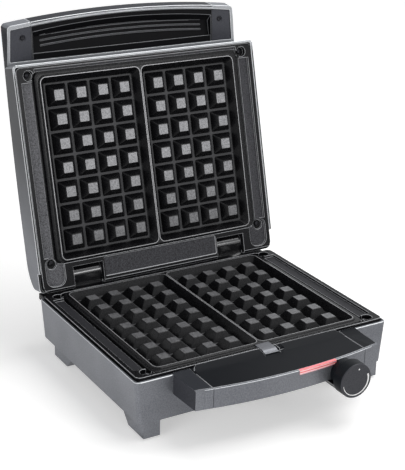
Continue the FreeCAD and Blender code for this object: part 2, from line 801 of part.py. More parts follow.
def bar_bottom_tray():
    sheet = bar_core.common(middle_slab)
    sheet = sheet.common(box(-200, 200, -200, 0, bar_bottom, bar_bottom + bar_skin))
    chord = math.sqrt(housing_radius ** 2 - (knob_z - bar_bottom) ** 2) - knob_wall
    mouth = box(knob_x - chord, knob_x + chord, -bar_reach, -bar_skin, bar_bottom - 1,
                bar_bottom + bar_skin + 1)
    return sheet.cut(mouth)


keep_pair("bar_end", bar_end())
keep("bar_top_panel", bar_top_panel())
keep("bar_bottom_tray", bar_bottom_tray())

# ---------------------------------------------------------------- thermostat and knob
neck_front = -knob_face + knob_depth + knob_gap
below_bar = box(-200, 200, -200, 0, 0, bar_bottom)
above_bar = box(-200, 200, -200, 0, bar_bottom, 120)


def knob_rod(y0, y1, radius):
    return rod(Y, vec(knob_x, y0, knob_z), vec(knob_x, y1, knob_z), radius)


collar = knob_rod(neck_front, 0, collar_radius).common(above_bar)
lens_clearance = bar_plan(-lens_proud - 0.2, lens_bottom - 0.2, 120)
lens_clearance = lens_clearance.common(slab(lens_left, lens_right + 0.2))
collar = collar.cut([bar_plan(-0.05, 0, 120), lens_clearance,
                     knob_rod(-knob_face, 0, bushing_radius + 0.2)])
keep("knob_collar", collar)

housing = knob_rod(neck_front, 0, housing_radius).common(below_bar)
housing_hollow = knob_rod(-bar_reach, -bar_skin, housing_radius - knob_wall)
keep("knob_housing", housing.cut(housing_hollow))

thermostat_front = -bar_reach + 2.0
thermostat = fuse([knob_rod(thermostat_front, -thermostat_back, thermostat_radius),
                   knob_rod(neck_front + 1, thermostat_front, bushing_radius)])
keep("thermostat_body", thermostat.cut(knob_rod(-knob_face, thermostat_front + 15,
                                                shaft_radius + shaft_clearance)))


def knob():
    back = knob_depth - knob_face
    body = knob_rod(-knob_face, back, knob_radius)
    body = body.makeChamfer(knob_chamfer, [edge for edge in body.Edges
                                           if abs(edge.BoundBox.YMax + knob_face) < 0.01])
    hollow = knob_rod(-knob_face + knob_wall + 0.6, back + 1, knob_radius - knob_wall)
    hub = knob_rod(-knob_face + knob_wall, back, shaft_radius + 3)
    socket = knob_rod(-knob_face + 2 * knob_wall, back + 1, shaft_radius)
    return fuse([body.cut(hollow), hub]).cut(socket)


keep("knob", knob())
keep("knob_shaft", knob_rod(-knob_face + 2 * knob_wall, thermostat_front + 14, shaft_radius))


# ---------------------------------------------------------------- plate release clip
def plate_clip():
    """Sliding latch of folded sheet: a finger tab, a ramp, and a hook over the plate."""
    low = mating_base - strip_drop + 0.1
    under_hook = mating_base - flange_drop + 0.2
    nose = plate_front + clip_hook
    tab_end = -clip_front + clip_step
    fold = low + clip_edge
    profile = [(-clip_front, low), (-clip_front + 0.3, fold), (tab_end, fold + 0.3),
               (tab_end + 0.6, fold + 0.7), (-clip_ramp, mating_base),
               (nose, mating_base), (nose, under_hook), (clip_rear, under_hook),
               (clip_rear, low)]
    return side_profile(profile, -clip_half_width, clip_half_width)


keep("plate_clip", plate_clip())


# ================================================================ lid, built closed
lid_parts = {}


def keep_lid(name, shape):
    lid_parts[name] = shape


def keep_lid_pair(name, left_shape):
    keep_lid(name + "_left", left_shape)
    keep_lid(name + "_right", mirrored(left_shape))


def lid_body(inset):
    """Solid lid: a long bulging top of two arcs and a level run, and leaning sides."""
    rear = lid_depth - inset
    peak = lid_peak_height - inset
    flat_end = lid_depth - lid_rear_round
    flat_start = flat_end - lid_flat
    fall = lid_peak_height - lid_front_height
    bulge = (flat_start ** 2 + fall ** 2) / (2 * fall)
    middle = flat_start / 2
    left = -2 * half
    points = [vec(left, inset, lid_front_height - inset),
              vec(left, middle, peak - bulge + math.sqrt(bulge ** 2 - middle ** 2)),
              vec(left, flat_start, peak),
              vec(left, flat_end, peak),
              vec(left, rear, lid_rear_height - inset)]
    drop = peak - lid_rear_height + inset
    run = rear - flat_end
    rounding = (run ** 2 + drop ** 2) / (2 * drop)
    along = run * rounding_share
    shoulder = vec(left, flat_end + along,
                   peak - rounding + math.sqrt(rounding ** 2 - along ** 2))
    low_front = vec(left, inset, -inset)
    low_rear = vec(left, rear, -inset)
    outline = Part.Wire([Part.Arc(points[0], points[1], points[2]).toShape(),
                         Part.makeLine(points[2], points[3]),
                         Part.Arc(points[3], shoulder, points[4]).toShape(),
                         Part.makeLine(points[4], low_rear),
                         Part.makeLine(low_rear, low_front),
                         Part.makeLine(low_front, points[0])])
    length = Part.Face(outline).extrude(vec(4 * half, 0, 0))
    reach = lid_peak_height + 2 * shell_wall
    low_half = half - inset
    high_half = low_half - reach * lid_lean
    front = vec(0, -shell_corner, 0)
    across = Part.makePolygon([vec(-low_half, 0, -inset) + front, vec(low_half, 0, -inset) + front,
                               vec(high_half, 0, reach - inset) + front,
                               vec(-high_half, 0, reach - inset) + front,
                               vec(-low_half, 0, -inset) + front])
    sides = Part.Face(across).extrude(vec(0, lid_depth + 2 * shell_corner, 0))
    solid = length.common(sides)
    upright = [edge for edge in solid.Edges
               if edge.BoundBox.ZLength > 20 and edge.BoundBox.YLength < 1]
    solid = solid.makeFillet(shell_corner - inset, upright)
    long_edges = [edge for edge in solid.Edges
                  if edge.BoundBox.YLength > lid_flat - 1 and edge.BoundBox.ZMin > 20]
    return solid.makeFillet(lid_edge_radius - inset, long_edges)


def grip_plan(lean, inset, root_y, z):
    """Plan of the handle; lean is 0 at its upper edge and 1 at its lower edge."""
    side = grip_side_lean * lean
    face = arched_plan(grip_half_width - side, grip_root_width - side,
                       grip_reach - grip_bulge - grip_tip_lean * lean, grip_bulge, root_y,
                       inset)
    face.translate(vec(0, 0, z))
    return face


def grip_solid(inset, root_y):
    """Upright prism inside the lower edge of the handle, shrunk by inset."""
    return grip_plan(1.0, inset, root_y, 0).extrude(vec(0, 0, 60))


def underside(y):
    return grip_underside + grip_under_slope * (grip_reach + y)


def above_underside(rise):
    """Everything above the handle's sloping underside, raised by rise."""
    return side_profile([(-80, underside(-80) + rise), (20, underside(20) + rise), (20, 80),
                         (-80, 80)], -200, 200)


def under_grip_top(drop):
    """Everything below the handle's level top, lowered by drop."""
    return box(-200, 200, -80, 20, -20, grip_top - drop)


def grip_body():
    """Handle with leaning sides, between its sloping underside and its level top."""
    low = grip_plan(1.0, 0.0, grip_root, grip_underside - 1)
    high = grip_plan(0.0, 0.0, grip_root, grip_top + 1)
    solid = Part.makeLoft([low.OuterWire, high.OuterWire], True, True)
    corners = [edge for edge in solid.Edges
               if edge.BoundBox.ZLength > 10 and edge.BoundBox.YMax < -20]
    solid = solid.makeFillet(grip_corner, corners)
    return solid.common(above_underside(0.0)).common(under_grip_top(0.0))


grip_outer = grip_body()
grip_band_line = grip_solid(grip_band, grip_root + 1)
grip_recess = grip_solid(grip_band + grip_bead, -grip_root_rim)
grip_recess = grip_recess.common(under_grip_top(grip_skin))
screw_seat = underside(-grip_screw_front) + panel_drop + grip_screw_depth


def lid_shell():
    rim_cut = grip_outer.cut(grip_band_line).common(slab(-grip_seam, grip_seam))
    posts = []
    bores = []
    post_low = well_depth + frame_skin
    for x, y in wells(lid_well_rear):
        posts.append(rod(Z, vec(x, y, post_low), vec(x, y, 60), post_radius))
        bores.append(rod(Z, vec(x, y, post_low - 1), vec(x, y, post_low + screw_length),
                         screw_hole))
    outer = lid_body(0.0)
    posts = [post.common(outer) for post in posts]
    grip_posts = []
    above_panel = above_underside(panel_drop + panel_sheet)
    for x in (-grip_screw_side, grip_screw_side):
        post = rod(Z, vec(x, -grip_screw_front, screw_seat),
                   vec(x, -grip_screw_front, grip_top - grip_skin / 2), post_radius - 1.2)
        grip_posts.append(post.common(above_panel))
        bores.append(rod(Z, vec(x, -grip_screw_front, screw_seat),
                         vec(x, -grip_screw_front, screw_seat + 4), screw_hole))
    shell = outer.fuse(grip_outer).cut([lid_body(shell_wall), grip_recess, rim_cut])
    shell = shell.multiFuse(posts + grip_posts)
    normal_y = -math.cos(math.radians(open_angle))
    normal_z = math.sin(math.radians(open_angle))
    rear_from_axis = lid_depth - hinge_y
    stop_rise = (knuckle_rear + stop_gap + normal_y * rear_from_axis) / normal_z
    notch_top = hinge_z - mating_lid + stop_rise
    notch = box(knuckle_inner - knuckle_gap, knuckle_outer + knuckle_gap,
                lid_depth - 4 * shell_wall, lid_depth + 1, -1, notch_top)
    step = box(-half - 1, half + 1, body_depth + lid_step_behind, lid_depth + 1, -1,
               lid_step)
    return cut(shell, bores + [step] + both_sides(notch))


def ear(x0, x1):
    """Eye of the lid that turns about a hinge pin."""
    axis_z = hinge_z - mating_lid
    ear_front = frame_opening_rear + ear_gap
    profile = [(ear_front, 0), (lid_frame_rear, 0), (hinge_y + ear_radius, axis_z),
               (hinge_y - ear_radius, axis_z), (ear_front + 1, ledge_top + 1),
               (ear_front, ledge_top)]
    eye = rod(X, vec(x0, hinge_y, axis_z), vec(x1, hinge_y, axis_z), ear_radius)
    return side_profile(profile, x0, x1).fuse(eye)


def lid_frame():
    rear = lid_frame_rear
    ring = frame_ring(rear, lid_well_rear)
    sill_half = frame_half - 1
    sill = rounded_block(-sill_half, sill_half, rear - 4 * frame_skin, lid_depth, 0,
                         lid_step - seam_gap, frame_corner)
    outer_in = knuckle_outer + knuckle_gap
    inner_in = knuckle_inner - knuckle_gap
    ears = both_sides(ear(outer_in, outer_in + ear_width))
    ears += both_sides(ear(inner_in - ear_width, inner_in))
    wall_y = hinge_y - knuckle_radius - notch_front
    walls = both_sides(box(inner_in - 1, outer_in + 1, wall_y - frame_skin, wall_y, 0,
                           hinge_z - mating_lid))
    solid = fuse([ring, sill] + ears + walls)
    axis_z = hinge_z - mating_lid
    tools = both_sides(box(inner_in, outer_in, wall_y, lid_depth + 1, -1, 40))
    tools += [rod(X, vec(-half, hinge_y, axis_z), vec(half, hinge_y, axis_z),
                  pin_radius + pin_clearance)]
    pocket_x = outer_in + ear_width
    tools += both_sides(rounded_block(pocket_x, frame_half - band_width,
                                      frame_opening_rear - pocket_reach,
                                      rear - frame_skin, -1, strip_drop, pocket_corner))
    tools += [rounded_block(-inner_in + band_gap, inner_in - band_gap,
                            frame_opening_rear + band_gap, lid_depth - band_margin, -1,
                            band_drop, band_gap)]
    for x, y in wells(lid_well_rear):
        tools.append(rod(Z, vec(x, y, -1), vec(x, y, well_depth), well_radius))
    tools.append(side_profile([(lid_depth - lip_run, 0), (lid_depth - lip_run, -1),
                               (lid_depth + lip_run, -1),
                               (lid_depth + lip_run, 2 * lip_rise)], -half, half))
    return cut(solid, tools)


def finger_hollow(inset, floor):
    """Room for the fingers; its front wall slopes back towards the lid."""
    root = -grip_root_rim - liner_gap
    low = grip_plan(1.0, inset, root, grip_underside - 2)
    high = grip_plan(1.0, inset + finger_slope, root, floor)
    hollow = Part.makeLoft([low.OuterWire, high.OuterWire], True, True)
    side = liner_half - liner
    return fuse([hollow, box(-side, side, -2 * ledge_front, root, grip_underside - 2,
                             floor)]).common(slab(-side, side))


def arched_rib(middle_y):
    """Rib parallel to the handle's arched edge; middle_y is its place at x = 0."""
    reach = -middle_y - grip_bulge
    outer = arched_plan(grip_half_width, grip_half_width, reach + rib_width / 2,
                        grip_bulge, 0.0)
    inner = arched_plan(grip_half_width, grip_half_width, reach - rib_width / 2,
                        grip_bulge, 1.0)
    return outer.cut(inner).extrude(vec(0, 0, rib_height + liner / 2))


def handle_grip():
    """Black lining of the finger recess, with arched ribs and a ledge near the lid."""
    inset = grip_band + grip_bead + liner_gap
    root = -grip_root_rim - liner_gap
    inner_half = liner_half - liner
    floor = grip_top - grip_skin - liner
    block = grip_solid(inset, root).common(under_grip_top(grip_skin))
    block = block.common(above_underside(panel_drop)).common(slab(-liner_half, liner_half))
    ribs = []
    for index in range(rib_count):
        rib = arched_rib(-(rib_first + index * rib_pitch))
        rib.translate(vec(0, 0, floor - rib_height))
        ribs.append(rib.common(slab(rib_end - inner_half, inner_half - rib_end)))
    ledge = box(-inner_half - liner / 2, inner_half + liner / 2, -ledge_front, root,
                grip_underside, floor + liner / 2).common(above_underside(ledge_drop))
    return fuse([block.cut(finger_hollow(inset + liner, floor)), ledge] + ribs)


def handle_panel():
    """Left end panel on the underside of the handle."""
    inset = grip_band + grip_bead + liner_gap
    plate = grip_solid(inset, -grip_root_rim - liner_gap)
    plate = plate.common(box(-200, -panel_inner, -60, 0, 0, 60))
    plate = plate.common(above_underside(panel_drop))
    plate = plate.cut(above_underside(panel_drop + panel_sheet))
    x = -grip_screw_side
    y = -grip_screw_front
    ring = rod(Z, vec(x, y, 0), vec(x, y, screw_seat), grip_screw_ring)
    hole = rod(Z, vec(x, y, 0), vec(x, y, 60), screw_hole)
    return plate.cut([ring, hole])


def handle_screw():
    x = -grip_screw_side
    y = -grip_screw_front
    face = screw_seat - 0.9
    head = rod(Z, vec(x, y, face), vec(x, y, screw_seat), grip_screw_head)
    shaft = rod(Z, vec(x, y, screw_seat), vec(x, y, screw_seat + 3.5), screw_shaft)
    arm = grip_screw_head * 0.6
    slot = box(x - 0.35, x + 0.35, y - arm, y + arm, face, face + 0.5)
    cross = box(x - arm, x + arm, y - 0.35, y + 0.35, face, face + 0.5)
    return cut(fuse([head, shaft]), [slot, cross])


keep_lid("lid_shell", lid_shell())
band_slab = slab(-grip_seam + seam_gap, grip_seam - seam_gap)
keep_lid("handle_band", grip_outer.cut(grip_band_line).common(band_slab))
keep_lid("handle_grip", handle_grip())
keep_lid_pair("handle_panel", handle_panel())
keep_lid_pair("handle_screw", handle_screw())
keep_lid("lid_frame", lid_frame())
keep_lid("upper_plate", waffle_plate())
keep_lid("upper_element", element())
keep_lid("upper_reflector", reflector())
keep_lid("lid_frame_screw_front_left", screw(-well_side, well_front))
keep_lid("lid_frame_screw_front_right", screw(well_side, well_front))
keep_lid("lid_frame_screw_rear_left", screw(-well_side, lid_well_rear))
keep_lid("lid_frame_screw_rear_right", screw(well_side, lid_well_rear))

for name, shape in lid_parts.items():
    opened = to_lid(shape)
    opened.rotate(vec(0, hinge_y, hinge_z), X, -open_angle)
    keep(name, opened)

# ================================================================ origin and files
extents = [shape.optimalBoundingBox(False) for shape in parts.values()]
front_end = min(extent.YMin for extent in extents)
rear_end = max(extent.YMax for extent in extents)
shift = -(front_end + rear_end) / 2
os.makedirs("parts", exist_ok=True)
for name, shape in parts.items():
    shape.translate(vec(0, shift, 0))
    shape.exportStep("parts/" + name + ".step")
print("moved along Y by", round(shift, 3))
print("hinge axis at y", round(hinge_y + shift, 3), "z", round(hinge_z, 3))
for name, shape in parts.items():
    print(name, shape.ShapeType, len(shape.Solids), "solid, volume",
          round(shape.Volume / 1000, 2), "cm3, valid", shape.isValid())
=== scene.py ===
# %% [markdown]
# # A waffle maker with its lid open
#
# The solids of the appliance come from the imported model. This script gives them the
# finishes of the real thing and rebuilds the pieces whose look depends on fine shape:
# the cast plates, the screws, the dial and the indicator lens.

# %% Load the frame
import json
import math

import bmesh
import bpy
from mathutils import Matrix, Vector
from mathutils.bvhtree import BVHTree
from mathutils.kdtree import KDTree


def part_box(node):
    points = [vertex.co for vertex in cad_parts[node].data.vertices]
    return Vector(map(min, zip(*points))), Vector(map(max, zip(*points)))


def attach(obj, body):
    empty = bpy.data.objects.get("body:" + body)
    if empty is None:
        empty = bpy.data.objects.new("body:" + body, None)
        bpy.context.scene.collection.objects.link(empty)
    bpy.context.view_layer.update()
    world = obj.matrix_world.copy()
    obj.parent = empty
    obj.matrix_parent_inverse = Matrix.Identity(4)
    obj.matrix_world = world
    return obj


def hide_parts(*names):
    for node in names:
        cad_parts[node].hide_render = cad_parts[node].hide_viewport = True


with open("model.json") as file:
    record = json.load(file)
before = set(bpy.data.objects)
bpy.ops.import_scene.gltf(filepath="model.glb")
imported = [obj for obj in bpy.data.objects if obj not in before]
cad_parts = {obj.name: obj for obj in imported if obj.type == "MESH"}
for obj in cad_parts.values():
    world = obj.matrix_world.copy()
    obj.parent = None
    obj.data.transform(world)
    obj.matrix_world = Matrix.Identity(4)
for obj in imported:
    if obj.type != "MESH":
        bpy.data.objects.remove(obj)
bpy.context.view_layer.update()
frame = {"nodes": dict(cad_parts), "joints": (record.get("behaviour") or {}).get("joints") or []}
MM = 0.001

# %% [markdown]
# Sizes are written in millimetres, as a maker would read them. The base front and the
# hinge axis come from the solids, so every rebuilt piece lands where its solid is.
# The lid is drawn shut and lying flat, then swung open by one matrix.

# %% Where things are
rim_height = 58.6
mating_base = 61.6
mating_lid = 62.1
hinge_from_front = 212.0
open_angle = math.radians(105)
base_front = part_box("base_shell")[0][1] / MM
hinge = next(joint for joint in frame["joints"] if joint["name"] == "lid_hinge")
hinge_y = hinge["pos_m"][1] / MM
hinge_z = hinge["pos_m"][2] / MM

to_metres = Matrix.Scale(MM, 4)
lid_to_world = (to_metres @ Matrix.Translation((0, hinge_y, hinge_z))
                @ Matrix.Rotation(-open_angle, 4, "X")
                @ Matrix.Translation((0, -hinge_from_front, mating_lid - hinge_z)))
base_to_world = (to_metres @ Matrix.Translation((0, base_front, mating_base))
                 @ Matrix.Scale(-1, 4, (0, 0, 1)))
print("base front at", round(base_front, 2), "hinge at", round(hinge_y, 2))

# %% [markdown]
# The camera stands to the left of the front, a little above the lid's middle, with a
# long lens, as for a catalogue picture.

# %% Camera
camera_azimuth = math.radians(-31.28)
camera_elevation = math.radians(21.42)
camera_roll = math.radians(1.49)
camera_distance = 1215.1
camera_target = Vector((-6.9, 109.6 + base_front, 76.7 + rim_height))
back = Vector((math.sin(camera_azimuth) * math.cos(camera_elevation),
               -math.cos(camera_azimuth) * math.cos(camera_elevation),
               math.sin(camera_elevation)))
level = Vector((math.cos(camera_azimuth), math.sin(camera_azimuth), 0))
upright = back.cross(level)
right = level * math.cos(camera_roll) + upright * math.sin(camera_roll)
up = upright * math.cos(camera_roll) - level * math.sin(camera_roll)
camera_data = bpy.data.cameras.new("camera")
camera_data.lens = 97.08
camera_data.sensor_width = 36.0
camera_data.clip_end = 50.0
camera = bpy.data.objects.new("camera", camera_data)
bpy.context.scene.collection.objects.link(camera)
turn = Matrix((right, up, back)).transposed().to_4x4()
camera_place = (camera_target + back * camera_distance) * MM
camera.matrix_world = Matrix.Translation(camera_place) @ turn
bpy.context.scene.camera = camera
bpy.context.scene.view_settings.view_transform = "Standard"
print("camera at", [round(value, 3) for value in camera.matrix_world.translation])

# %% [markdown]
# ## Finishes
# Every finish is a node tree. One function adds a node with its settings and links;
# another turns a colour as a designer writes it into the linear values that light
# works with.

# %% Node and colour helpers
def linear(hex_colour):
    """sRGB hex text to a linear colour with alpha."""
    channels = [int(hex_colour[i:i + 2], 16) / 255 for i in (1, 3, 5)]
    return [c / 12.92 if c <= 0.04045 else ((c + 0.055) / 1.055) ** 2.4
            for c in channels] + [1.0]


def add_node(tree, kind, inputs=None, **settings):
    """One node with its settings; an input is a value or a socket to link."""
    node = tree.nodes.new(kind)
    for name, value in settings.items():
        setattr(node, name, value)
    for name, value in (inputs or {}).items():
        if isinstance(value, bpy.types.NodeSocket):
            tree.links.new(value, node.inputs[name])
        else:
            node.inputs[name].default_value = value
    return node


def start_finish(name):
    """An empty material; gives its tree, its shader and Object coordinates."""
    material = bpy.data.materials.new(name)
    material.use_nodes = True
    tree = material.node_tree
    shader = tree.nodes["Principled BSDF"]
    place = tree.nodes.new("ShaderNodeTexCoord").outputs["Object"]
    return material, tree, shader, place


def grain(tree, place, size_mm, detail=2.0, roughness=0.5):
    """Noise whose lumps are about size_mm across."""
    return add_node(tree, "ShaderNodeTexNoise",
                    {"Vector": place, "Scale": 1 / (size_mm * MM), "Detail": detail,
                     "Roughness": roughness})


def blend_colours(tree, amount, low, high, dark, light):
    """Colour that runs from dark to light as amount runs from low to high."""
    ramp = add_node(tree, "ShaderNodeValToRGB", {"Fac": amount})
    ramp.color_ramp.elements[0].position = low
    ramp.color_ramp.elements[0].color = linear(dark)
    ramp.color_ramp.elements[1].position = high
    ramp.color_ramp.elements[1].color = linear(light)
    return ramp.outputs["Color"]


def vary(tree, amount, low, high):
    """Number that runs from low to high with a noise."""
    return add_node(tree, "ShaderNodeMapRange",
                    {"Value": amount, "From Min": 0.3, "From Max": 0.7, "To Min": low,
                     "To Max": high}).outputs["Result"]


# Paints shade: a colour darkened with height.
def fade_with_height(tree, place, colour, low, high, least):
    """Colour that is whole at height low and scaled by least at height high."""
    height = add_node(tree, "ShaderNodeSeparateXYZ", {"Vector": place}).outputs["Z"]
    scale = add_node(tree, "ShaderNodeMapRange",
                     {"Value": height, "From Min": low, "From Max": high,
                      "To Min": 1.0, "To Max": least})
    return add_node(tree, "ShaderNodeVectorMath",
                    {0: colour, "Scale": scale.outputs["Result"]},
                    operation="SCALE").outputs["Vector"]


def set_bump(tree, shader, height, depth_mm, strength=1.0):
    bump = add_node(tree, "ShaderNodeBump",
                    {"Height": height, "Distance": depth_mm * MM, "Strength": strength})
    tree.links.new(bump.outputs["Normal"], shader.inputs["Normal"])


# %% [markdown]
# **Metallic lacquer.** The housings are moulded ABS sprayed with a silver-grey lacquer.
# Its aluminium flakes lie at all angles, so it looks speckled close up, and a clear coat
# gives it a soft shine. Real flakes are 0.05 mm; they are drawn coarser so they show.
# A finish can fade with height, as painted shade: the lid's left side is painted darker
# towards the handle.

# %% Metallic lacquer
def make_metallic_lacquer(name, dark, light, metallic, shine, fade=None):
    material, tree, shader, place = start_finish(name)
    flakes = grain(tree, place, 1.1, 3.0, 0.6).outputs["Fac"]
    clouds = grain(tree, place, 45.0, 1.0).outputs["Fac"]
    mixed = add_node(tree, "ShaderNodeMix", {"Factor": 0.25}, data_type="FLOAT")
    tree.links.new(flakes, mixed.inputs[2])
    tree.links.new(clouds, mixed.inputs[3])
    colour = blend_colours(tree, mixed.outputs[0], 0.36, 0.64, dark, light)
    # A fade is painted shade that darkens the colour with height.
    if fade:
        colour = fade_with_height(tree, place, colour, *fade)
    tree.links.new(colour, shader.inputs["Base Color"])
    tree.links.new(vary(tree, flakes, 0.34, 0.50), shader.inputs["Roughness"])
    shader.inputs["Metallic"].default_value = metallic
    shader.inputs["Specular IOR Level"].default_value = shine
    shader.inputs["Coat Weight"].default_value = 0.2 * shine
    shader.inputs["Coat Roughness"].default_value = 0.25
    set_bump(tree, shader, flakes, 0.02)
    return material


# Painted shade on the lid's left side: darker towards the handle, and it shines less.
lid_side_painted_shade = (0.09, 0.2, 0.25)
lacquer = make_metallic_lacquer("metallic grey lacquer on ABS", "#63656b", "#7f8186", 0.4,
                                0.2)
left_side_painted_shade_lacquer = make_metallic_lacquer("lacquer with painted shade on the lid's left side", "#63656b",
                                     "#7f8186", 0.2, 0.05, lid_side_painted_shade)
# Graphite for the handle's band; on the ends of the bar's fascia it is painted shade.
graphite_lacquer_and_painted_shade = make_metallic_lacquer("graphite lacquer on ABS, also painted shade", "#2c2d31", "#3c3d42", 0.0,
                                     0.03)
# Paler lacquer for rounded edges: a painted highlight.
lacquer_painted_highlight = make_metallic_lacquer("lacquer with painted highlight on rounded edges", "#b9bbbe", "#d2d4d6", 0.5,
                                    0.5)
print("finish:", lacquer.name)

# %% [markdown]
# **Black mouldings.** Satin black plastic comes out of a tool with a fine etched skin.
# The wide strips of the frames have a coarser spark-eroded grain, which scatters light
# and so looks greyer than the smooth bands beside it. A low specular level keeps a matt
# piece dark where it is seen at a flat angle, and each finish has a paler copy for its
# edges, which paints a highlight on them.

# %% Black plastics
def make_moulded(name, dark, light, size_mm, depth_mm, rough_low, rough_high,
                 shine=0.5):
    material, tree, shader, place = start_finish(name)
    skin = grain(tree, place, size_mm, 3.0, 0.6).outputs["Fac"]
    colour = blend_colours(tree, skin, 0.35, 0.65, dark, light)
    tree.links.new(colour, shader.inputs["Base Color"])
    tree.links.new(vary(tree, skin, rough_low, rough_high), shader.inputs["Roughness"])
    shader.inputs["Specular IOR Level"].default_value = shine
    set_bump(tree, shader, skin, depth_mm)
    return material


satin_black = make_moulded("satin black ABS", "#0e0e10", "#161618", 0.9, 0.015, 0.24, 0.34,
                           0.1)
grip_black = make_moulded("soft-touch black", "#0a0a0c", "#101012", 0.9, 0.015, 0.4, 0.5,
                          0.05)
panel_black = make_moulded("matt black ABS", "#3b3c41", "#494a50", 0.9, 0.015, 0.4, 0.5,
                           0.12)
top_black = make_moulded("matt black ABS of the bar's top", "#0c0e12", "#14161a", 0.9,
                         0.015, 0.4, 0.5, 0.06)
# Only the bar's left end: black lightened as painted light; the right end uses the top's black.
left_bar_end_painted_light_black = make_moulded("black ABS of the bar's left end, lightened as painted light", "#24262a", "#2e3036", 0.9, 0.015,
                         0.3, 0.4, 0.12)
gloss_black = make_moulded("gloss black ABS", "#101012", "#18181a", 0.9, 0.01, 0.16, 0.22,
                           0.9)
fine_grained = make_moulded("fine-grained black ABS", "#18181a", "#303034", 1.2, 0.1,
                            0.45, 0.6, 0.15)
# Paler blacks for rounded edges: painted highlights.
soft_black_painted_highlight = make_moulded("soft-touch black with painted highlight on edges", "#5c5d60", "#757679", 0.9, 0.01, 0.3,
                        0.4)
black_painted_highlight = make_moulded("black with painted highlight on edges", "#88898c", "#acadb0", 0.9, 0.01, 0.25,
                          0.35)
# Lid's left strip: spark-eroded grain, lightened as painted light.
eroded_strip_painted_light = make_moulded("spark-eroded black ABS", "#2a2a2d", "#69696d", 1.2, 0.12,
                            0.45, 0.6, 0.3)
# Lid's right and rear strips: the same grain, darkened as painted shade.
eroded_strip_painted_shade = make_moulded("spark-eroded black ABS with painted shade", "#1c1c1f", "#48484c", 1.2,
                           0.12, 0.45, 0.6, 0.2)
collar_grey = make_moulded("dark grey ABS", "#0f1114", "#181b1f", 0.9, 0.02, 0.35, 0.5,
                           0.08)
pale_phenolic = make_moulded("pale phenolic moulding", "#c9c2b2", "#d8d2c4", 1.5, 0.03,
                             0.5, 0.65)
pad_rubber = make_moulded("black rubber", "#141414", "#1f1f1f", 0.8, 0.06, 0.75, 0.9)
knob_black = make_moulded("semi-gloss black ABS", "#323338", "#3c3d42", 0.7, 0.01, 0.26,
                          0.36, 0.2)
# Each finish's paler copy for bevels, a painted highlight.
highlight_finishes_for_edges = {lacquer.name: lacquer_painted_highlight, graphite_lacquer_and_painted_shade.name: lacquer_painted_highlight,
                 satin_black.name: black_painted_highlight, left_bar_end_painted_light_black.name: black_painted_highlight,
                 top_black.name: black_painted_highlight,
                 gloss_black.name: black_painted_highlight, grip_black.name: soft_black_painted_highlight}
print("black mouldings ready")

# %% [markdown]
# **Non-stick coating.** The plates are die-cast aluminium with a sprayed black coating.
# It is smooth but slightly pebbled, with faint mineral specks. The flat tops of the
# studs and the cavities' lips are painted a paler, rougher grey as painted highlight; on
# the upper plate the tops darken towards the bottom as painted shade, and the floors
# between the studs are painted lighter as painted reflection.

# %% Non-stick coating
def make_nonstick(name, dark, light, rough_low, rough_high, metallic, fade=None):
    material, tree, shader, place = start_finish(name)
    pebble = grain(tree, place, 1.4, 2.0, 0.5).outputs["Fac"]
    colour = blend_colours(tree, pebble, 0.3, 0.7, dark, light)
    # A fade is painted shade that darkens the colour with height.
    if fade:
        colour = fade_with_height(tree, place, colour, *fade)
    tree.links.new(colour, shader.inputs["Base Color"])
    tree.links.new(vary(tree, pebble, rough_low, rough_high), shader.inputs["Roughness"])
    shader.inputs["Metallic"].default_value = metallic
    shader.inputs["Specular IOR Level"].default_value = 0.2
    set_bump(tree, shader, pebble, 0.04)
    return material


nonstick = make_nonstick("black non-stick coating", "#0a0a0c", "#111113", 0.22, 0.34, 0.0)
# Painted highlight on the stud tops; on the upper plate painted shade darkens them towards the
# bottom.
stud_top_painted_shade = (0.17, 0.07, 0.3)
upper_stud_tops_painted_highlight = make_nonstick("non-stick coating with painted highlight and shade", "#5c5c5e", "#9c9c9e", 0.32, 0.5,
                            0.35, stud_top_painted_shade)
# A dimmer painted highlight on the lower plate's stud tops.
lower_stud_tops_painted_highlight = make_nonstick("non-stick coating with painted highlight", "#4c4c4e", "#7c7c7e", 0.32, 0.5,
                           0.35)
# Floors between the studs painted lighter: painted reflection.
cavity_floor_painted_reflection = make_nonstick("non-stick coating with painted reflection between the studs", "#323234", "#424244",
                             0.35, 0.5, 0.0)
# Pale lips of the cavities: painted highlight.
cavity_lip_painted_highlight = make_nonstick("rubbed lips of the cavities", "#8c8c8e", "#a6a6a8", 0.3, 0.4,
                           0.2)
print("plate finishes ready")

# %% [markdown]
# ** Metals.** Bright steel for the hinge pins and the knob's shaft, dull steel for the clip,
# blackened steel for the screws, rolled aluminium for the reflectors and a dark oxidised
# tube for the elements.

# %% Metals
def make_metal(name, dark, light, size_mm, rough_low, rough_high):
    material, tree, shader, place = start_finish(name)
    stretch = add_node(tree, "ShaderNodeMapping", {"Vector": place, "Scale": (1, 12, 12)})
    lines = grain(tree, stretch.outputs["Vector"], size_mm, 2.0).outputs["Fac"]
    colour = blend_colours(tree, lines, 0.3, 0.7, dark, light)
    tree.links.new(colour, shader.inputs["Base Color"])
    tree.links.new(vary(tree, lines, rough_low, rough_high), shader.inputs["Roughness"])
    shader.inputs["Metallic"].default_value = 1.0
    set_bump(tree, shader, lines, 0.01)
    return material


bright_steel = make_metal("brushed bright steel", "#a6a7aa", "#c6c7c9", 6.0, 0.24, 0.38)
clip_steel = make_metal("dull steel", "#55565a", "#77787c", 3.0, 0.35, 0.5)
black_steel = make_metal("blackened steel", "#1d1d1f", "#333336", 3.0, 0.3, 0.45)
rolled_aluminium = make_metal("rolled aluminium", "#c2c3c5", "#d9dadb", 10.0, 0.3, 0.42)
oxidised_tube = make_metal("oxidised steel tube", "#3c3835", "#5a5550", 5.0, 0.4, 0.6)
cover_paint = make_moulded("black powder coat on steel", "#161617", "#222224", 1.0, 0.08,
                           0.5, 0.65)
print("metals ready")

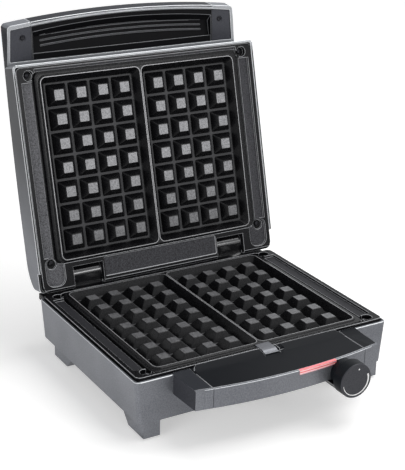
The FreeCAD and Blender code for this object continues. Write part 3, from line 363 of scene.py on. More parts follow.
# %% [markdown]
# ** Lens and print.** The indicator lens is clear red acrylic with long prisms inside,
# whose pale lines are painted highlights in its colour, over a bump for the prisms. The
# dial's marks are pad-printed in white.

# %% Lens and print
def make_red_acrylic():
    material, tree, shader, place = start_finish("clear red acrylic")
    height = add_node(tree, "ShaderNodeSeparateXYZ", {"Vector": place}).outputs["Z"]
    prism = add_node(tree, "ShaderNodeMath", {0: height, 1: 2 * math.pi / (2.2 * MM)},
                     operation="MULTIPLY")
    prism_ridges_and_painted_highlights = add_node(tree, "ShaderNodeMath", {0: prism.outputs[0]}, operation="SINE")
    # Pale stripes over the prisms: painted highlights.
    colour = blend_colours(tree, prism_ridges_and_painted_highlights.outputs[0], 0.2, 0.9, "#f8868c", "#fff0f0")
    shader.inputs["Emission Color"].default_value = linear("#e03040")
    shader.inputs["Emission Strength"].default_value = 0.12
    tree.links.new(colour, shader.inputs["Base Color"])
    shader.inputs["Roughness"].default_value = 0.22
    shader.inputs["IOR"].default_value = 1.49
    shader.inputs["Coat Weight"].default_value = 0.4
    shader.inputs["Coat Roughness"].default_value = 0.1
    shader.inputs["Subsurface Weight"].default_value = 0.25
    shader.inputs["Subsurface Scale"].default_value = 1.5 * MM
    set_bump(tree, shader, prism_ridges_and_painted_highlights.outputs[0], 0.08)
    return material


red_acrylic = make_red_acrylic()
white_print = make_moulded("white pad print", "#e6e6e6", "#f4f4f4", 0.6, 0.005, 0.45, 0.55)
print("lens and print ready")

# %% [markdown]
# ## Soft edges
# No moulded or cast edge is perfectly sharp: a radius of a few tenths of a millimetre
# catches the light as the thin bright line that outlines each piece. The solids have
# sharp edges, so a copy of each gets a bevel and takes its solid's place. The bevels
# also get a paler finish, which paints a highlight on them.

# %% Mesh helpers
def link_piece(name, mesh, body, slot_name, *nodes):
    """A finished mesh becomes a piece that rides on a body and stands for nodes."""
    piece = bpy.data.objects.new(name, mesh)
    bpy.context.scene.collection.objects.link(piece)
    if nodes:
        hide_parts(*nodes)
    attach(piece, body)
    return piece


def bake_modifiers(piece):
    """Replace a piece's mesh by what its modifiers make of it."""
    depsgraph = bpy.context.evaluated_depsgraph_get()
    made = bpy.data.meshes.new_from_object(piece.evaluated_get(depsgraph))
    piece.modifiers.clear()
    piece.data = made
    return made


def shaded(mesh, degrees=50):
    """Smooth shading in which wide flat faces stay flat and sharp edges stay sharp."""
    for polygon in mesh.polygons:
        polygon.use_smooth = True
    mesh.set_sharp_from_angle(angle=math.radians(degrees))
    draft = bpy.data.objects.new("draft", mesh)
    bpy.context.scene.collection.objects.link(draft)
    weigh = draft.modifiers.new("shade", "WEIGHTED_NORMAL")
    weigh.keep_sharp = True
    result = bake_modifiers(draft)
    bpy.data.objects.remove(draft)
    return result


def sound_bevel(base, surface, banned, radius_mm, segments, angle):
    """Bevel a copy of base; gives the copy and the places where it went wrong."""
    bm = base.copy()
    bm.edges.ensure_lookup_table()
    sharp = [edge for edge in bm.edges if edge.is_manifold and edge.index not in banned
             and edge.calc_face_angle(0) > math.radians(angle)]
    bmesh.ops.bevel(bm, geom=sharp, offset=radius_mm * MM, offset_type="OFFSET",
                    segments=segments, profile=0.5, affect="EDGES",
                    clamp_overlap=False, loop_slide=True, miter_outer="ARC",
                    material=1)
    bm.normal_update()
    astray = set()
    for vertex in bm.verts:
        near = surface.find_nearest(vertex.co)
        if near[3] > 0.75 * radius_mm * MM:
            astray.add(vertex)
            astray.update(edge.other_vert(vertex) for edge in vertex.link_edges)
    for polygon in bm.faces:
        middle = polygon.calc_center_median()
        near = surface.find_nearest(middle)
        small = polygon.calc_area() > 1e-10 and len(polygon.verts) < 12
        if small and polygon.normal.dot(near[1]) < -0.3:
            astray.update(polygon.verts)
    return bm, [vertex.co.copy() for vertex in astray]


def softened_mesh(node, radius_mm, finish, edge_finish, segments=3, angle=32.0):
    """Copy of a CAD node's mesh with its flat faces joined and its edges rounded.

    The rounded edges get their own, paler finish, which paints a highlight.  Where a wall
    is too thin or an edge too short for the radius, the edge stays sharp.
    """
    base = bmesh.new()
    base.from_mesh(frame["nodes"][node].data)
    bmesh.ops.remove_doubles(base, verts=base.verts, dist=2e-6)
    bmesh.ops.dissolve_limit(base, angle_limit=math.radians(0.6), verts=base.verts,
                             edges=base.edges)
    base.normal_update()
    base.edges.ensure_lookup_table()
    base.edges.index_update()
    surface = BVHTree.FromBMesh(base)
    banned = set()
    for attempt in range(7):
        bm, astray = sound_bevel(base, surface, banned, radius_mm, segments, angle)
        if not astray:
            break
        bm.free()
        reach = (1.2 + 0.4 * attempt) * radius_mm * MM
        spots = KDTree(len(astray))
        for index, place in enumerate(astray):
            spots.insert(place, index)
        spots.balance()
        for edge in base.edges:
            ends = [vertex.co for vertex in edge.verts]
            for place in ends + [(ends[0] + ends[1]) / 2]:
                if spots.find(place)[2] < reach:
                    banned.add(edge.index)
    if astray:
        bm = base.copy()
    mesh = bpy.data.meshes.new("soft")
    bm.to_mesh(mesh)
    bm.free()
    base.free()
    mesh.materials.append(finish)
    mesh.materials.append(edge_finish)
    print(node, "edges kept sharp:", len(banned), "tries:", attempt + 1,
          "left astray:", len(astray))
    return shaded(mesh)


# On the base only bevels facing up keep the painted highlight.
highlight_facing_up = 0.25


def soften(node, body, slot_name, finish, radius_mm):
    """Rounded stand-in for one solid; on the base only edges that face up get the painted
    highlight.
    """
    mesh = softened_mesh(node, radius_mm, finish, highlight_finishes_for_edges.get(finish.name, finish))
    if body == "base" and finish == lacquer:
        for polygon in mesh.polygons:
            if polygon.normal.z < highlight_facing_up:
                polygon.material_index = 0
    return link_piece("looks_" + node, mesh, body, slot_name, node)


# %% [markdown]
# The housings, the mouldings of the front bar, the hinge knuckles and the handle's
# trims keep the shape of their solids and only get soft edges and their finish.

# %% Housings and trims
sides = ("left", "right")
# The left end is painted lighter than the mirrored right end: painted light.
bar_ends = {"left": left_bar_end_painted_light_black, "right": top_black}
ends = ("front", "rear")
plain_pieces = [
    ("base_shell", "base", "grey_housing", lacquer, 0.7),
    ("lid_shell", "lid", "grey_housing", lacquer, 0.7),
    ("handle_band", "lid", "grey_housing", graphite_lacquer_and_painted_shade, 0.6),
    ("bar_fascia_center", "base", "grey_housing", lacquer, 0.35),
    ("bar_top_panel", "base", "black_plastic", top_black, 0.4),
    ("bar_bottom_tray", "base", "black_plastic", satin_black, 0.3),
    ("knob_collar", "base", "dark_grey_plastic", collar_grey, 0.6),
    ("knob_housing", "base", "black_plastic", satin_black, 0.6),
    ("plate_clip", "plate_clip", "bright_steel", clip_steel, 0.25),
    ("handle_grip", "lid", "black_plastic", grip_black, 0.35),
    ("bottom_cover", "base", "steel_cover", cover_paint, 0.2),
    ("cord_gland", "base", "rubber_pad", pad_rubber, 0.5),
    ("indicator_lens", "base", "red_lens", red_acrylic, 0.4),
    ("hinge_cover", "base", "black_plastic", satin_black, 0.5),
]
for side in sides:
    plain_pieces += [
        ("bar_fascia_" + side, "base", "grey_housing", lacquer, 0.35),
        ("bar_end_" + side, "base", "black_plastic", bar_ends[side], 0.35),
        ("hinge_knuckle_" + side, "base", "black_plastic", gloss_black, 0.8),
        ("hinge_pin_" + side, "base", "bright_steel", bright_steel, 0.4),
        ("handle_panel_" + side, "lid", "black_plastic", panel_black, 0.3),
    ]
    for end in ends:
        plain_pieces.append(("foot_pad_" + end + "_" + side, "base", "rubber_pad",
                             pad_rubber, 0.5))
for node_name, body_name, slot_name, finish, radius in plain_pieces:
    soften(node_name, body_name, slot_name, finish, radius)
print(len(plain_pieces), "pieces with soft edges")

# %% [markdown]
# A few faces of these pieces have a finish of their own. The lid's rim, which looks
# straight out of the open lid, is painted pale along the handle as a painted highlight and
# darkens into the seam beside the frame as painted shade. The lid's left side takes its
# painted shade, and the ends of the bar's fascia take the graphite lacquer as painted shade.

# %% Faces with their own finish
lid_outward = Vector((0, -math.sin(open_angle), -math.cos(open_angle)))
# The rim: a pale lacquer as painted highlight, darkened into the seam as painted shade.
rim_depth = 4.0
rim_painted_shade_run = 8.0
rim_edge = (lid_to_world @ Vector((0, rim_depth, 0))).z
rim_painted_highlight_and_shade = make_metallic_lacquer("lacquer with painted highlight and shade on the lid's rim", "#87898c", "#a1a3a6", 0.5,
                                    0.3, (rim_edge, rim_edge - rim_painted_shade_run * MM, 0.06))
mesh = bpy.data.objects["looks_lid_shell"].data
# Faces looking left take the lacquer with painted shade.
mesh.materials.append(left_side_painted_shade_lacquer)
# Faces looking out of the open lid take the rim's painted highlight and shade.
mesh.materials.append(rim_painted_highlight_and_shade)
for polygon in mesh.polygons:
    if polygon.normal.x < -0.9:
        polygon.material_index = 2
    elif polygon.normal.dot(lid_outward) > 0.97:
        polygon.material_index = 3
# The fascia's end faces take the graphite lacquer as painted shade.
for side in sides:
    mesh = bpy.data.objects["looks_bar_fascia_" + side].data
    mesh.materials.append(graphite_lacquer_and_painted_shade)
    for polygon in mesh.polygons:
        if abs(polygon.normal.x) > 0.9:
            polygon.material_index = 2
print("the lid's rim is pale above", round(rim_edge, 4))

# %% [markdown]
# Thin black lips on the rear wall, level with the bar between the knuckles, close the
# slit under the lid's rear edge on both sides of the hinge.

# %% Rear lips
def block_mesh(low, high):
    """Closed block between two corners."""
    bm = bmesh.new()
    bmesh.ops.create_cube(bm, size=1.0)
    low, high = Vector(low), Vector(high)
    middle = (low + high) / 2
    for vertex in bm.verts:
        for axis in range(3):
            vertex.co[axis] = middle[axis] + vertex.co[axis] * (high[axis] - low[axis])
    mesh = bpy.data.meshes.new("block")
    bm.to_mesh(mesh)
    bm.free()
    return mesh


lip_inset = 6.0 * MM
lip_gap = 0.2 * MM
cover_low, cover_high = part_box("hinge_cover")
shell_low, shell_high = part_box("base_shell")
for side in sides:
    knuckle_low, knuckle_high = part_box("hinge_knuckle_" + side)
    if side == "left":
        x_range = (shell_low[0] + lip_inset, knuckle_low[0] - lip_gap)
    else:
        x_range = (knuckle_high[0] + lip_gap, shell_high[0] - lip_inset)
    lip = block_mesh((x_range[0], cover_low[1], cover_low[2]),
                     (x_range[1], cover_high[1], cover_high[2]))
    lip.materials.append(satin_black)
    link_piece("looks_rear_lip_" + side, lip, "base", "black_plastic")
print("rear lips from", round(cover_low[2] / MM, 1), "to", round(cover_high[2] / MM, 1))

# %% [markdown]
# The black frames have two finishes: smooth bands, and sunk strips with the coarser
# grain. The strips are the faces that look straight out and lie below the bands. On the
# lid the left strip is painted lighter, as painted light, and the right and rear strips
# darker, as painted shade.

# %% Frames
strip_drop = 2.5
band_drop = 0.8
left_strip_edge = -100.0 * MM


def dress_frame(node, body, world_to_mating, outward, strip_finish):
    mesh = softened_mesh(node, 0.35, satin_black, black_painted_highlight)
    mesh.materials.append(strip_finish)
    mesh.materials.append(eroded_strip_painted_shade)
    for polygon in mesh.polygons:
        depth = abs((world_to_mating @ polygon.center).z)
        facing = polygon.normal.dot(outward) > 0.99
        sunk = abs(depth - strip_drop) < 0.05 or abs(depth - band_drop) < 0.05
        if facing and sunk:
            # Lid strips right of the left one take the painted shade.
            strip_in_painted_shade = body == "lid" and polygon.center.x > left_strip_edge
            polygon.material_index = 3 if strip_in_painted_shade else 2
    return link_piece("looks_" + node, mesh, body, "black_plastic", node)


dress_frame("base_frame", "base", base_to_world.inverted(), Vector((0, 0, 1)),
            fine_grained)
dress_frame("lid_frame", "lid", lid_to_world.inverted(), lid_outward, eroded_strip_painted_light)
print("frames dressed")

# %% [markdown]
# ## The cast plates
# Each plate is a casting with two cavities, and in each cavity four by seven studs
# stand on a 24 mm grid. The casting is built from rings of rounded rectangles, one
# inside and below the other, like the passes of a milling cutter. The studs are one
# small mesh that a geometry-node tree repeats on a grid.

# %% Plate sizes
stud_columns = 4
stud_rows = 7
stud_pitch = 24.0
stud_base = 22.0
stud_top = 11.0
stud_height = 7.7
stud_round = 0.7
cavity_depth = 8.6
cavity_run = 5.3
cavity_side = 109.6
cavity_front = 14.6
cavity_rear = 195.2
cavity_radius = 5.5
divider_half = 1.0
plate_half = 115.5
plate_front = 8.7
plate_rear = 197.8
flange_drop = 1.2
flange_thickness = 3.0
plate_thickness = 11.6
body_margin = 4.0
bead_width = 2.3
lip_width = 0.7
corner_steps = 8


def rounded_ring(bm, x0, x1, y0, y1, radius, z):
    """Closed ring of vertices round a level rectangle, anticlockwise from above."""
    ring = []
    corners = ((x1 - radius, y1 - radius, 0), (x0 + radius, y1 - radius, 90),
               (x0 + radius, y0 + radius, 180), (x1 - radius, y0 + radius, 270))
    for cx, cy, start in corners:
        for step in range(corner_steps + 1):
            angle = math.radians(start + 90 * step / corner_steps)
            ring.append(bm.verts.new((cx + radius * math.cos(angle),
                                      cy + radius * math.sin(angle), z)))
    return ring


def skin_between(bm, ring_a, ring_b, finish=0):
    """Band of faces between two rings of the same count."""
    count = len(ring_a)
    for i in range(count):
        j = (i + 1) % count
        band = bm.faces.new((ring_a[i], ring_a[j], ring_b[j], ring_b[i]))
        band.material_index = finish


def ring_edges(bm, ring):
    return [bm.edges.get((a, b)) or bm.edges.new((a, b))
            for a, b in zip(ring, ring[1:] + ring[:1])]


# %% Casting
def casting_mesh():
    """The plate without its studs; z = 0 is the mating face and z grows inwards."""
    bm = bmesh.new()
    flange_low = flange_drop + flange_thickness
    soft = 0.5
    outline = [
        (body_margin + soft, 1.0 + soft, plate_thickness, 5.0),
        (body_margin, 1.0, plate_thickness - soft, 5.5),
        (body_margin, 1.0, flange_low, 5.5),
        (soft, soft, flange_low, 6.0),
        (0.0, 0.0, flange_low - soft, 6.5),
        (0.0, 0.0, flange_drop + soft, 6.5),
        (soft, soft, flange_drop, 6.0),
    ]
    rings = []
    for inset, inset_rear, z, radius in outline:
        rings.append(rounded_ring(bm, -plate_half + inset, plate_half - inset,
                                  plate_front + inset, plate_rear - inset_rear, radius, z))
    for width, z in ((bead_width + 0.3, flange_drop), (bead_width, flange_drop - 0.4),
                     (bead_width, 0.4), (bead_width - 0.4, 0.0)):
        rings.append(rounded_ring(bm, -cavity_side - width, cavity_side + width,
                                  cavity_front - width, cavity_rear + width,
                                  cavity_radius + width, z))
    for ring_a, ring_b in zip(rings, rings[1:]):
        skin_between(bm, ring_a, ring_b)
    bm.faces.new(list(reversed(rings[0])))
    lips = list(ring_edges(bm, rings[-1]))
    for side in (-1, 1):
        x_in, x_out = sorted((side * divider_half, side * cavity_side))
        slope = []
        for inset, z, radius in ((-lip_width, 0.0, cavity_radius + lip_width),
                                 (0.0, 0.0, cavity_radius),
                                 (0.25, 0.45, cavity_radius - 0.1),
                                 (cavity_run - 0.5, cavity_depth - 0.8, 2.8),
                                 (cavity_run + 0.1, cavity_depth - 0.15, 2.4),
                                 (cavity_run + 0.8, cavity_depth, 2.0)):
            slope.append(rounded_ring(bm, x_in + inset, x_out - inset,
                                      cavity_front + inset, cavity_rear - inset,
                                      radius, z))
        skin_between(bm, slope[0], slope[1], 2)
        for ring_a, ring_b in zip(slope[1:], slope[2:]):
            skin_between(bm, ring_a, ring_b)
        bm.faces.new(slope[-1]).material_index = 1
        lips += ring_edges(bm, slope[0])
    bmesh.ops.triangle_fill(bm, edges=lips, use_beauty=True, use_dissolve=False)
    bmesh.ops.recalc_face_normals(bm, faces=bm.faces)
    mesh = bpy.data.meshes.new("casting")
    bm.to_mesh(mesh)
    bm.free()
    return mesh


print("casting faces:", len(casting_mesh().polygons))

# %% [markdown]
# A stud is a four-sided frustum with softened corners: a stack of small rounded
# squares.

# %% One stud
def stud_mesh():
    bm = bmesh.new()
    run = (stud_base - stud_top) / 2
    levels = [(0.0, -0.6, 1.6), (0.25, 0.15, 1.4), (0.9, 0.9, 1.2),
              (run - 0.35, stud_height - 0.55, 0.9), (run + 0.05, stud_height - 0.12, 0.8),
              (run + stud_round * 0.7, stud_height, 0.7)]
    rings = []
    for inset, height, radius in levels:
        reach = stud_base / 2 - inset
        corners = []
        for sx, sy, start in ((1, 1, 0), (-1, 1, 90), (-1, -1, 180), (1, -1, 270)):
            for step in range(4):
                angle = math.radians(start + 30 * step)
                corners.append(bm.verts.new(
                    (sx * (reach - radius) + radius * math.cos(angle),
                     sy * (reach - radius) + radius * math.sin(angle),
                     cavity_depth - height)))
        rings.append(corners)
    for ring_a, ring_b in zip(rings, rings[1:]):
        skin_between(bm, ring_a, ring_b)
    bm.faces.new(rings[-1])
    bm.faces.new(list(reversed(rings[0])))
    bmesh.ops.recalc_face_normals(bm, faces=bm.faces)
    mesh = bpy.data.meshes.new("stud")
    bm.to_mesh(mesh)
    bm.free()
    return mesh


print("stud faces:", len(stud_mesh().polygons))

# %% [markdown]
# The tree takes the object's own mesh and copies it to the crossings of a grid. Faces
# that look straight out of the plate get the second finish, so the studs' tops get their
# painted highlight. The same tree later places the screws, so its sizes are inputs.

# %% Grid-of-copies tree
def make_grid_tree():
    tree = bpy.data.node_groups.new("copies on a grid", "GeometryNodeTree")
    face = tree.interface
    face.new_socket("Geometry", in_out="INPUT", socket_type="NodeSocketGeometry")
    for name in ("Columns", "Rows"):
        face.new_socket(name, in_out="INPUT", socket_type="NodeSocketInt")
    for name in ("Width", "Length"):
        face.new_socket(name, in_out="INPUT", socket_type="NodeSocketFloat")
    face.new_socket("Middle", in_out="INPUT", socket_type="NodeSocketVector")
    for name in ("Finish", "Top finish"):
        face.new_socket(name, in_out="INPUT", socket_type="NodeSocketMaterial")
    face.new_socket("Geometry", in_out="OUTPUT", socket_type="NodeSocketGeometry")
    given = tree.nodes.new("NodeGroupInput").outputs
    grid = add_node(tree, "GeometryNodeMeshGrid",
                    {"Size X": given["Width"], "Size Y": given["Length"],
                     "Vertices X": given["Columns"], "Vertices Y": given["Rows"]})
    moved = add_node(tree, "GeometryNodeSetPosition",
                     {"Geometry": grid.outputs["Mesh"], "Offset": given["Middle"]})
    copies = add_node(tree, "GeometryNodeInstanceOnPoints",
                      {"Points": moved.outputs["Geometry"], "Instance": given["Geometry"]})
    real = add_node(tree, "GeometryNodeRealizeInstances",
                    {"Geometry": copies.outputs["Instances"]})
    normal = tree.nodes.new("GeometryNodeInputNormal").outputs["Normal"]
    height = add_node(tree, "ShaderNodeSeparateXYZ", {"Vector": normal}).outputs["Z"]
    outward = add_node(tree, "ShaderNodeMath", {0: height, 1: -0.99},
                       operation="LESS_THAN")
    body = add_node(tree, "GeometryNodeSetMaterial",
                    {"Geometry": real.outputs["Geometry"], "Material": given["Finish"]})
    top = add_node(tree, "GeometryNodeSetMaterial",
                   {"Geometry": body.outputs["Geometry"],
                    "Selection": outward.outputs[0], "Material": given["Top finish"]})
    result = tree.nodes.new("NodeGroupOutput")
    tree.links.new(top.outputs["Geometry"], result.inputs["Geometry"])
    return tree


grid_tree = make_grid_tree()


def copies_on_grid(mesh, columns, rows, width, length, middle, finish, top_finish):
    """Mesh of columns by rows copies, spread over width by length about middle."""
    draft = bpy.data.objects.new("draft", mesh)
    bpy.context.scene.collection.objects.link(draft)
    modifier = draft.modifiers.new("copies", "NODES")
    modifier.node_group = grid_tree
    wanted = {"Columns": columns, "Rows": rows, "Width": width, "Length": length,
              "Middle": middle, "Finish": finish, "Top finish": top_finish}
    for item in grid_tree.interface.items_tree:
        if item.in_out == "INPUT" and item.name in wanted:
            modifier[item.identifier] = wanted[item.name]
    result = bake_modifiers(draft)
    bpy.data.objects.remove(draft)
    return result


print("tree inputs:", [item.name for item in grid_tree.interface.items_tree])

# %% [markdown]
# Casting and studs are joined into one mesh per plate and placed by the matrix of the
# base or of the lid. The base's matrix mirrors depth into height, so the faces are
# turned outwards again afterwards.

# %% Both plates
def joined(meshes, placing):
    """One mesh from several, moved by a matrix, all faces outwards."""
    bm = bmesh.new()
    finishes = []
    for mesh in meshes:
        start = len(bm.faces)
        bm.from_mesh(mesh)
        bm.faces.ensure_lookup_table()
        for polygon in bm.faces[start:]:
            finish = mesh.materials[polygon.material_index]
            if finish not in finishes:
                finishes.append(finish)
            polygon.material_index = finishes.index(finish)
    bm.transform(placing)
    if placing.determinant() < 0:
        bmesh.ops.reverse_faces(bm, faces=bm.faces)
    result = bpy.data.meshes.new("joined")
    bm.to_mesh(result)
    bm.free()
    for finish in finishes:
        result.materials.append(finish)
    return shaded(result)


def plate_mesh(placing, top_finish):
    casting = casting_mesh()
    for finish in (nonstick, cavity_floor_painted_reflection, cavity_lip_painted_highlight):
        casting.materials.append(finish)
    span_x = (stud_columns - 1) * stud_pitch
    span_y = (stud_rows - 1) * stud_pitch
    middle_x = (divider_half + cavity_side) / 2
    middle_y = (cavity_front + cavity_rear) / 2
    fields = [copies_on_grid(stud_mesh(), stud_columns, stud_rows, span_x, span_y,
                             (side * middle_x, middle_y, 0), nonstick, top_finish)
              for side in (-1, 1)]
    return joined([casting] + fields, placing)


lower_plate = link_piece("looks_lower_plate", plate_mesh(base_to_world, lower_stud_tops_painted_highlight), "base",
                         "nonstick_plate", "lower_plate")
upper_plate = link_piece("looks_upper_plate", plate_mesh(lid_to_world, upper_stud_tops_painted_highlight), "lid",
                         "nonstick_plate", "upper_plate")
print("plate faces:", len(lower_plate.data.polygons))

# %% [markdown]
# ## Screws
# The frames are held by pan-head screws that sit deep in wells at the corners, and the
# handle by two smaller ones. A pan head is a turned shape, so it is lathed from a
# profile. The cross recess is then cut out with a Boolean.

# %% Turned shapes
def lathe(profile, steps, closed=True):
    """Mesh from (radius, height) points, turned about Z."""
    bm = bmesh.new()
    rings = []
    for radius, height in profile:
        ring = []
        for step in range(steps):
            angle = 2 * math.pi * step / steps
            ring.append(bm.verts.new((radius * math.cos(angle), radius * math.sin(angle),
                                      height)))
        rings.append(ring)
    for ring_a, ring_b in zip(rings, rings[1:]):
        skin_between(bm, ring_a, ring_b)
    if closed:
        bm.faces.new(rings[0])
        bm.faces.new(list(reversed(rings[-1])))
    bmesh.ops.recalc_face_normals(bm, faces=bm.faces)
    mesh = bpy.data.meshes.new("turned")
    bm.to_mesh(mesh)
    bm.free()
    return mesh


def bar_mesh(half_x, half_y, low, high):
    """Closed block about the Z axis, tapered towards high as a driver tip is."""
    bm = bmesh.new()
    rings = []
    for taper, z in ((1.0, low), (0.72, high)):
        rings.append([bm.verts.new((x * half_x * taper, y * half_y * taper, z))
                      for x, y in ((1, 1), (-1, 1), (-1, -1), (1, -1))])
    skin_between(bm, rings[0], rings[1])
    bm.faces.new(rings[0])
    bm.faces.new(list(reversed(rings[1])))
    bmesh.ops.recalc_face_normals(bm, faces=bm.faces)
    mesh = bpy.data.meshes.new("driver")
    bm.to_mesh(mesh)
    bm.free()
    return mesh


def cut_by(mesh, cutters):
    """Mesh less each cutter mesh."""
    draft = bpy.data.objects.new("draft", mesh)
    bpy.context.scene.collection.objects.link(draft)
    tools = []
    for cutter in cutters:
        tool = bpy.data.objects.new("tool", cutter)
        bpy.context.scene.collection.objects.link(tool)
        step = draft.modifiers.new("cut", "BOOLEAN")
        step.operation = "DIFFERENCE"
        step.solver = "EXACT"
        step.object = tool
        tools.append(tool)
    result = bake_modifiers(draft)
    for extra in [draft] + tools:
        bpy.data.objects.remove(extra)
    return result


# %% Screws
def screw_mesh(radius, height, shaft_radius, shaft_length):
    """Pan head whose crown is at z = 0 and whose shaft grows with z."""
    profile = [(radius * 0.30, 0.0), (radius * 0.62, height * 0.06),
               (radius * 0.84, height * 0.20), (radius * 0.96, height * 0.45),
               (radius, height * 0.75), (radius, height),
               (shaft_radius, height), (shaft_radius, height + shaft_length)]
    arm = radius * 0.62
    blade = radius * 0.15
    deep = height * 0.62
    return cut_by(lathe(profile, 32), [bar_mesh(arm, blade, -0.1, deep),
                                       bar_mesh(blade, arm, -0.1, deep)])


def node_middle(node, world_to_part):
    low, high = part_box(node)
    return world_to_part @ ((Vector(low) + Vector(high)) / 2)


def set_screws(name, body, placing, nodes, columns, rows, crown, sizes):
    """One mesh of screws at the middles of nodes, which span a grid."""
    spots = [node_middle(node, placing.inverted()) for node in nodes]
    xs = [spot.x for spot in spots]
    ys = [spot.y for spot in spots]
    middle = ((min(xs) + max(xs)) / 2, (min(ys) + max(ys)) / 2, crown)
    screws = copies_on_grid(screw_mesh(*sizes), columns, rows, max(xs) - min(xs),
                            max(ys) - min(ys), middle, black_steel, black_steel)
    return link_piece(name, joined([screws], placing), body, "dark_screw", *nodes)


frame_screw = (3.0, 1.8, 1.5, 11.0)
handle_screw = (2.3, 0.9, 1.5, 3.2)
for label, body, placing in (("base", "base", base_to_world),
                             ("lid", "lid", lid_to_world)):
    nodes = [label + "_frame_screw_" + end + "_" + side for end in ends for side in sides]
    set_screws("looks_" + label + "_screws", body, placing, nodes, 2, 2, 3.2, frame_screw)
set_screws("looks_handle_screws", "lid", lid_to_world,
           ["handle_screw_" + side for side in sides], 2, 1, 23.3, handle_screw)
print("screws set")

# %% [markdown]
# ## The dial
# The knob is a turned cap with a rounded rim and a shallow dish. A white dot shows
# where it points, and a white wedge that tapers round the dish shows less and more
# heat. The marks are built as very thin solids, because print has a little thickness.

# %% Dial
knob_radius = 16.8
knob_depth = 12.5
dish_depth = 0.12
print_depth = 0.05
knob_low, knob_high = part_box("knob")
knob_x = (knob_low[0] + knob_high[0]) / 2 / MM
knob_z = (knob_low[2] + knob_high[2]) / 2 / MM
knob_to_world = (to_metres @ Matrix.Translation((knob_x, knob_low[1] / MM, knob_z))
                 @ Matrix.Rotation(math.radians(-90), 4, "X"))


def knob_mesh():
    """Knob with its face at z = 0, growing backwards with z."""
    profile = [(0.4, dish_depth), (8.0, dish_depth), (15.1, dish_depth), (15.45, 0.0),
               (15.9, 0.0)]
    for step in range(1, 7):
        angle = math.radians(90 * step / 6)
        profile.append((15.9 + 0.9 * math.sin(angle), 0.9 - 0.9 * math.cos(angle)))
    profile += [(knob_radius, 4.0), (knob_radius, knob_depth - 0.5),
                (knob_radius - 0.4, knob_depth), (knob_radius - 2.0, knob_depth),
                (knob_radius - 2.2, 2.8), (6.2, 2.8), (6.0, knob_depth), (3.1, knob_depth),
                (3.1, 4.4), (0.4, 4.4)]
    mesh = lathe(profile, 96)
    mesh.materials.append(knob_black)
    mesh.materials.append(collar_grey)
    for polygon in mesh.polygons:
        if polygon.center.z > 0.9:
            polygon.material_index = 1
    return mesh


def mark_mesh(outline):
    """Thin closed plate on the dish from a loop of (x, y) points."""
    bm = bmesh.new()
    rings = [[bm.verts.new((x, y, dish_depth - height)) for x, y in outline]
             for height in (-0.02, print_depth)]
    skin_between(bm, rings[0], rings[1])
    bm.faces.new(rings[0])
    bm.faces.new(list(reversed(rings[1])))
    bmesh.ops.recalc_face_normals(bm, faces=bm.faces)
    mesh = bpy.data.meshes.new("mark")
    bm.to_mesh(mesh)
    bm.free()
    mesh.materials.append(white_print)
    return mesh


def around(radius, degrees):
    """Point on the dial; the angle runs anticlockwise as seen from the front."""
    angle = math.radians(degrees)
    return radius * math.cos(angle), -radius * math.sin(angle)


dot_x, dot_y = 2.5, -11.0
dot = [(dot_x + around(0.8, 15 * step)[0], dot_y + around(0.8, 15 * step)[1])
       for step in range(24)]
wedge_steps = 60
wedge_start = 20.0
wedge_sweep = 190.0
outer = [around(14.3, wedge_start - wedge_sweep * step / wedge_steps)
         for step in range(wedge_steps + 1)]
inner = [around(13.9 - 1.3 * (1 - step / wedge_steps),
                wedge_start - wedge_sweep * step / wedge_steps)
         for step in range(wedge_steps + 1)]
wedge = outer + list(reversed(inner))
dial = link_piece("looks_knob", joined([knob_mesh(), mark_mesh(dot), mark_mesh(wedge)],
                                       knob_to_world), "knob", "knob_plastic", "knob")
print("dial faces:", len(dial.data.polygons))

# %% [markdown]
# ## Pieces that keep their solids
# The heating elements, their reflectors and the parts inside the base are right as they
# are. Only their material slots change.

# %% Inner pieces
inner_finishes = {"lower_element": oxidised_tube, "upper_element": oxidised_tube,
                  "lower_reflector": rolled_aluminium, "upper_reflector": rolled_aluminium,
                  "terminal_block": pale_phenolic, "thermostat_body": pale_phenolic,
                  "knob_shaft": bright_steel}
for node, finish in inner_finishes.items():
    for slot in frame["nodes"][node].material_slots:
        slot.material = finish
print(len(inner_finishes), "inner pieces dressed")

# %% [markdown]
# ## Floor and light
# The appliance stands on a plain white floor. The floor shows brighter to the camera
# and to reflections than it is lit, so it reads as white while its shadow stays soft
# and visible. A wide soft lamp hangs overhead, one fills from the left without being
# mirrored in the black pieces, and a low one at the front right gives the studs of the
# upper plate their pale tops.

# %% Floor
def make_floor_finish():
    material, tree, shader, place = start_finish("matt white floor")
    clouds = grain(tree, place, 300.0, 2.0).outputs["Fac"]
    colour = blend_colours(tree, clouds, 0.3, 0.7, "#e3e2e1", "#e6e5e4")
    tree.links.new(colour, shader.inputs["Base Color"])
    shader.inputs["Roughness"].default_value = 0.9
    shader.inputs["Specular IOR Level"].default_value = 0.1
    path = tree.nodes.new("ShaderNodeLightPath").outputs
    seen = add_node(tree, "ShaderNodeMath", {0: path["Is Camera Ray"],
                                             1: path["Is Glossy Ray"]}, operation="ADD")
    seen = add_node(tree, "ShaderNodeMath", {0: seen.outputs[0],
                                             1: path["Is Transmission Ray"]},
                    operation="ADD", use_clamp=True)
    away = add_node(tree, "ShaderNodeVectorMath", {0: place}, operation="LENGTH")
    glow = add_node(tree, "ShaderNodeMapRange",
                    {"Value": away.outputs["Value"], "From Min": 0.5, "From Max": 2.5,
                     "To Min": floor_lift, "To Max": far_lift})
    lift = add_node(tree, "ShaderNodeMath", {0: seen.outputs[0], 1: glow.outputs[0]},
                    operation="MULTIPLY")
    shader.inputs["Emission Color"].default_value = linear("#ffffff")
    tree.links.new(lift.outputs[0], shader.inputs["Emission Strength"])
    return material


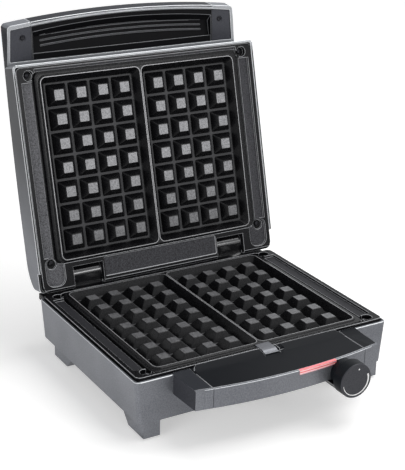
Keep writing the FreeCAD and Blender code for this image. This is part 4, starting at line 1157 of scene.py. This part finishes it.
floor_lift = 0.42
far_lift = 0.8
floor_bm = bmesh.new()
bmesh.ops.create_circle(floor_bm, cap_ends=True, radius=4.0, segments=64)
floor_mesh = bpy.data.meshes.new("floor")
floor_bm.to_mesh(floor_mesh)
floor_bm.free()
floor_mesh.materials.append(make_floor_finish())
floor = bpy.data.objects.new("floor", floor_mesh)
floor.location.z = -0.0002
bpy.context.scene.collection.objects.link(floor)
print("floor ready")

# %% Lamps and world
def hang_lamp(name, place, aim, width, height, power, glints=True):
    """Rectangular soft lamp; places in metres, power in watts.

    A lamp without glints lights a surface but isn't mirrored in it.
    """
    data = bpy.data.lights.new(name, "AREA")
    data.shape = "RECTANGLE"
    data.size = width
    data.size_y = height
    data.energy = power
    lamp = bpy.data.objects.new(name, data)
    away = (Vector(place) - Vector(aim)).normalized()
    lamp.matrix_world = (Matrix.Translation(place)
                         @ away.to_track_quat("Z", "Y").to_matrix().to_4x4())
    lamp.visible_glossy = glints
    bpy.context.scene.collection.objects.link(lamp)


middle = (0.0, 0.0, 0.12)
hang_lamp("overhead", (0.6, 0.0, 1.2), middle, 1.3, 1.3, 16.0)
hang_lamp("left fill", (-0.9, -0.4, 0.15), (0.0, 0.0, 0.03), 0.5, 0.2, 4.8, glints=False)
hang_lamp("front right", (0.68, -1.45, 0.6), (0.0, 0.1, 0.2), 0.55, 0.4, 5.0)

world = bpy.data.worlds.new("studio")
world.use_nodes = True
bpy.context.scene.world = world
sky = world.node_tree.nodes["Background"]
sky.inputs["Color"].default_value = linear("#f2f4f6")
path = world.node_tree.nodes.new("ShaderNodeLightPath").outputs
seen = add_node(world.node_tree, "ShaderNodeMath",
                {0: path["Is Camera Ray"], 1: path["Is Glossy Ray"]}, operation="ADD")
seen = add_node(world.node_tree, "ShaderNodeMath",
                {0: seen.outputs[0], 1: path["Is Transmission Ray"]}, operation="ADD")
sky_strength = add_node(world.node_tree, "ShaderNodeMapRange",
                        {"Value": seen.outputs[0], "To Min": 0.32, "To Max": 1.0})
world.node_tree.links.new(sky_strength.outputs["Result"], sky.inputs["Strength"])
print("lamps:", [item.name for item in bpy.data.lights])
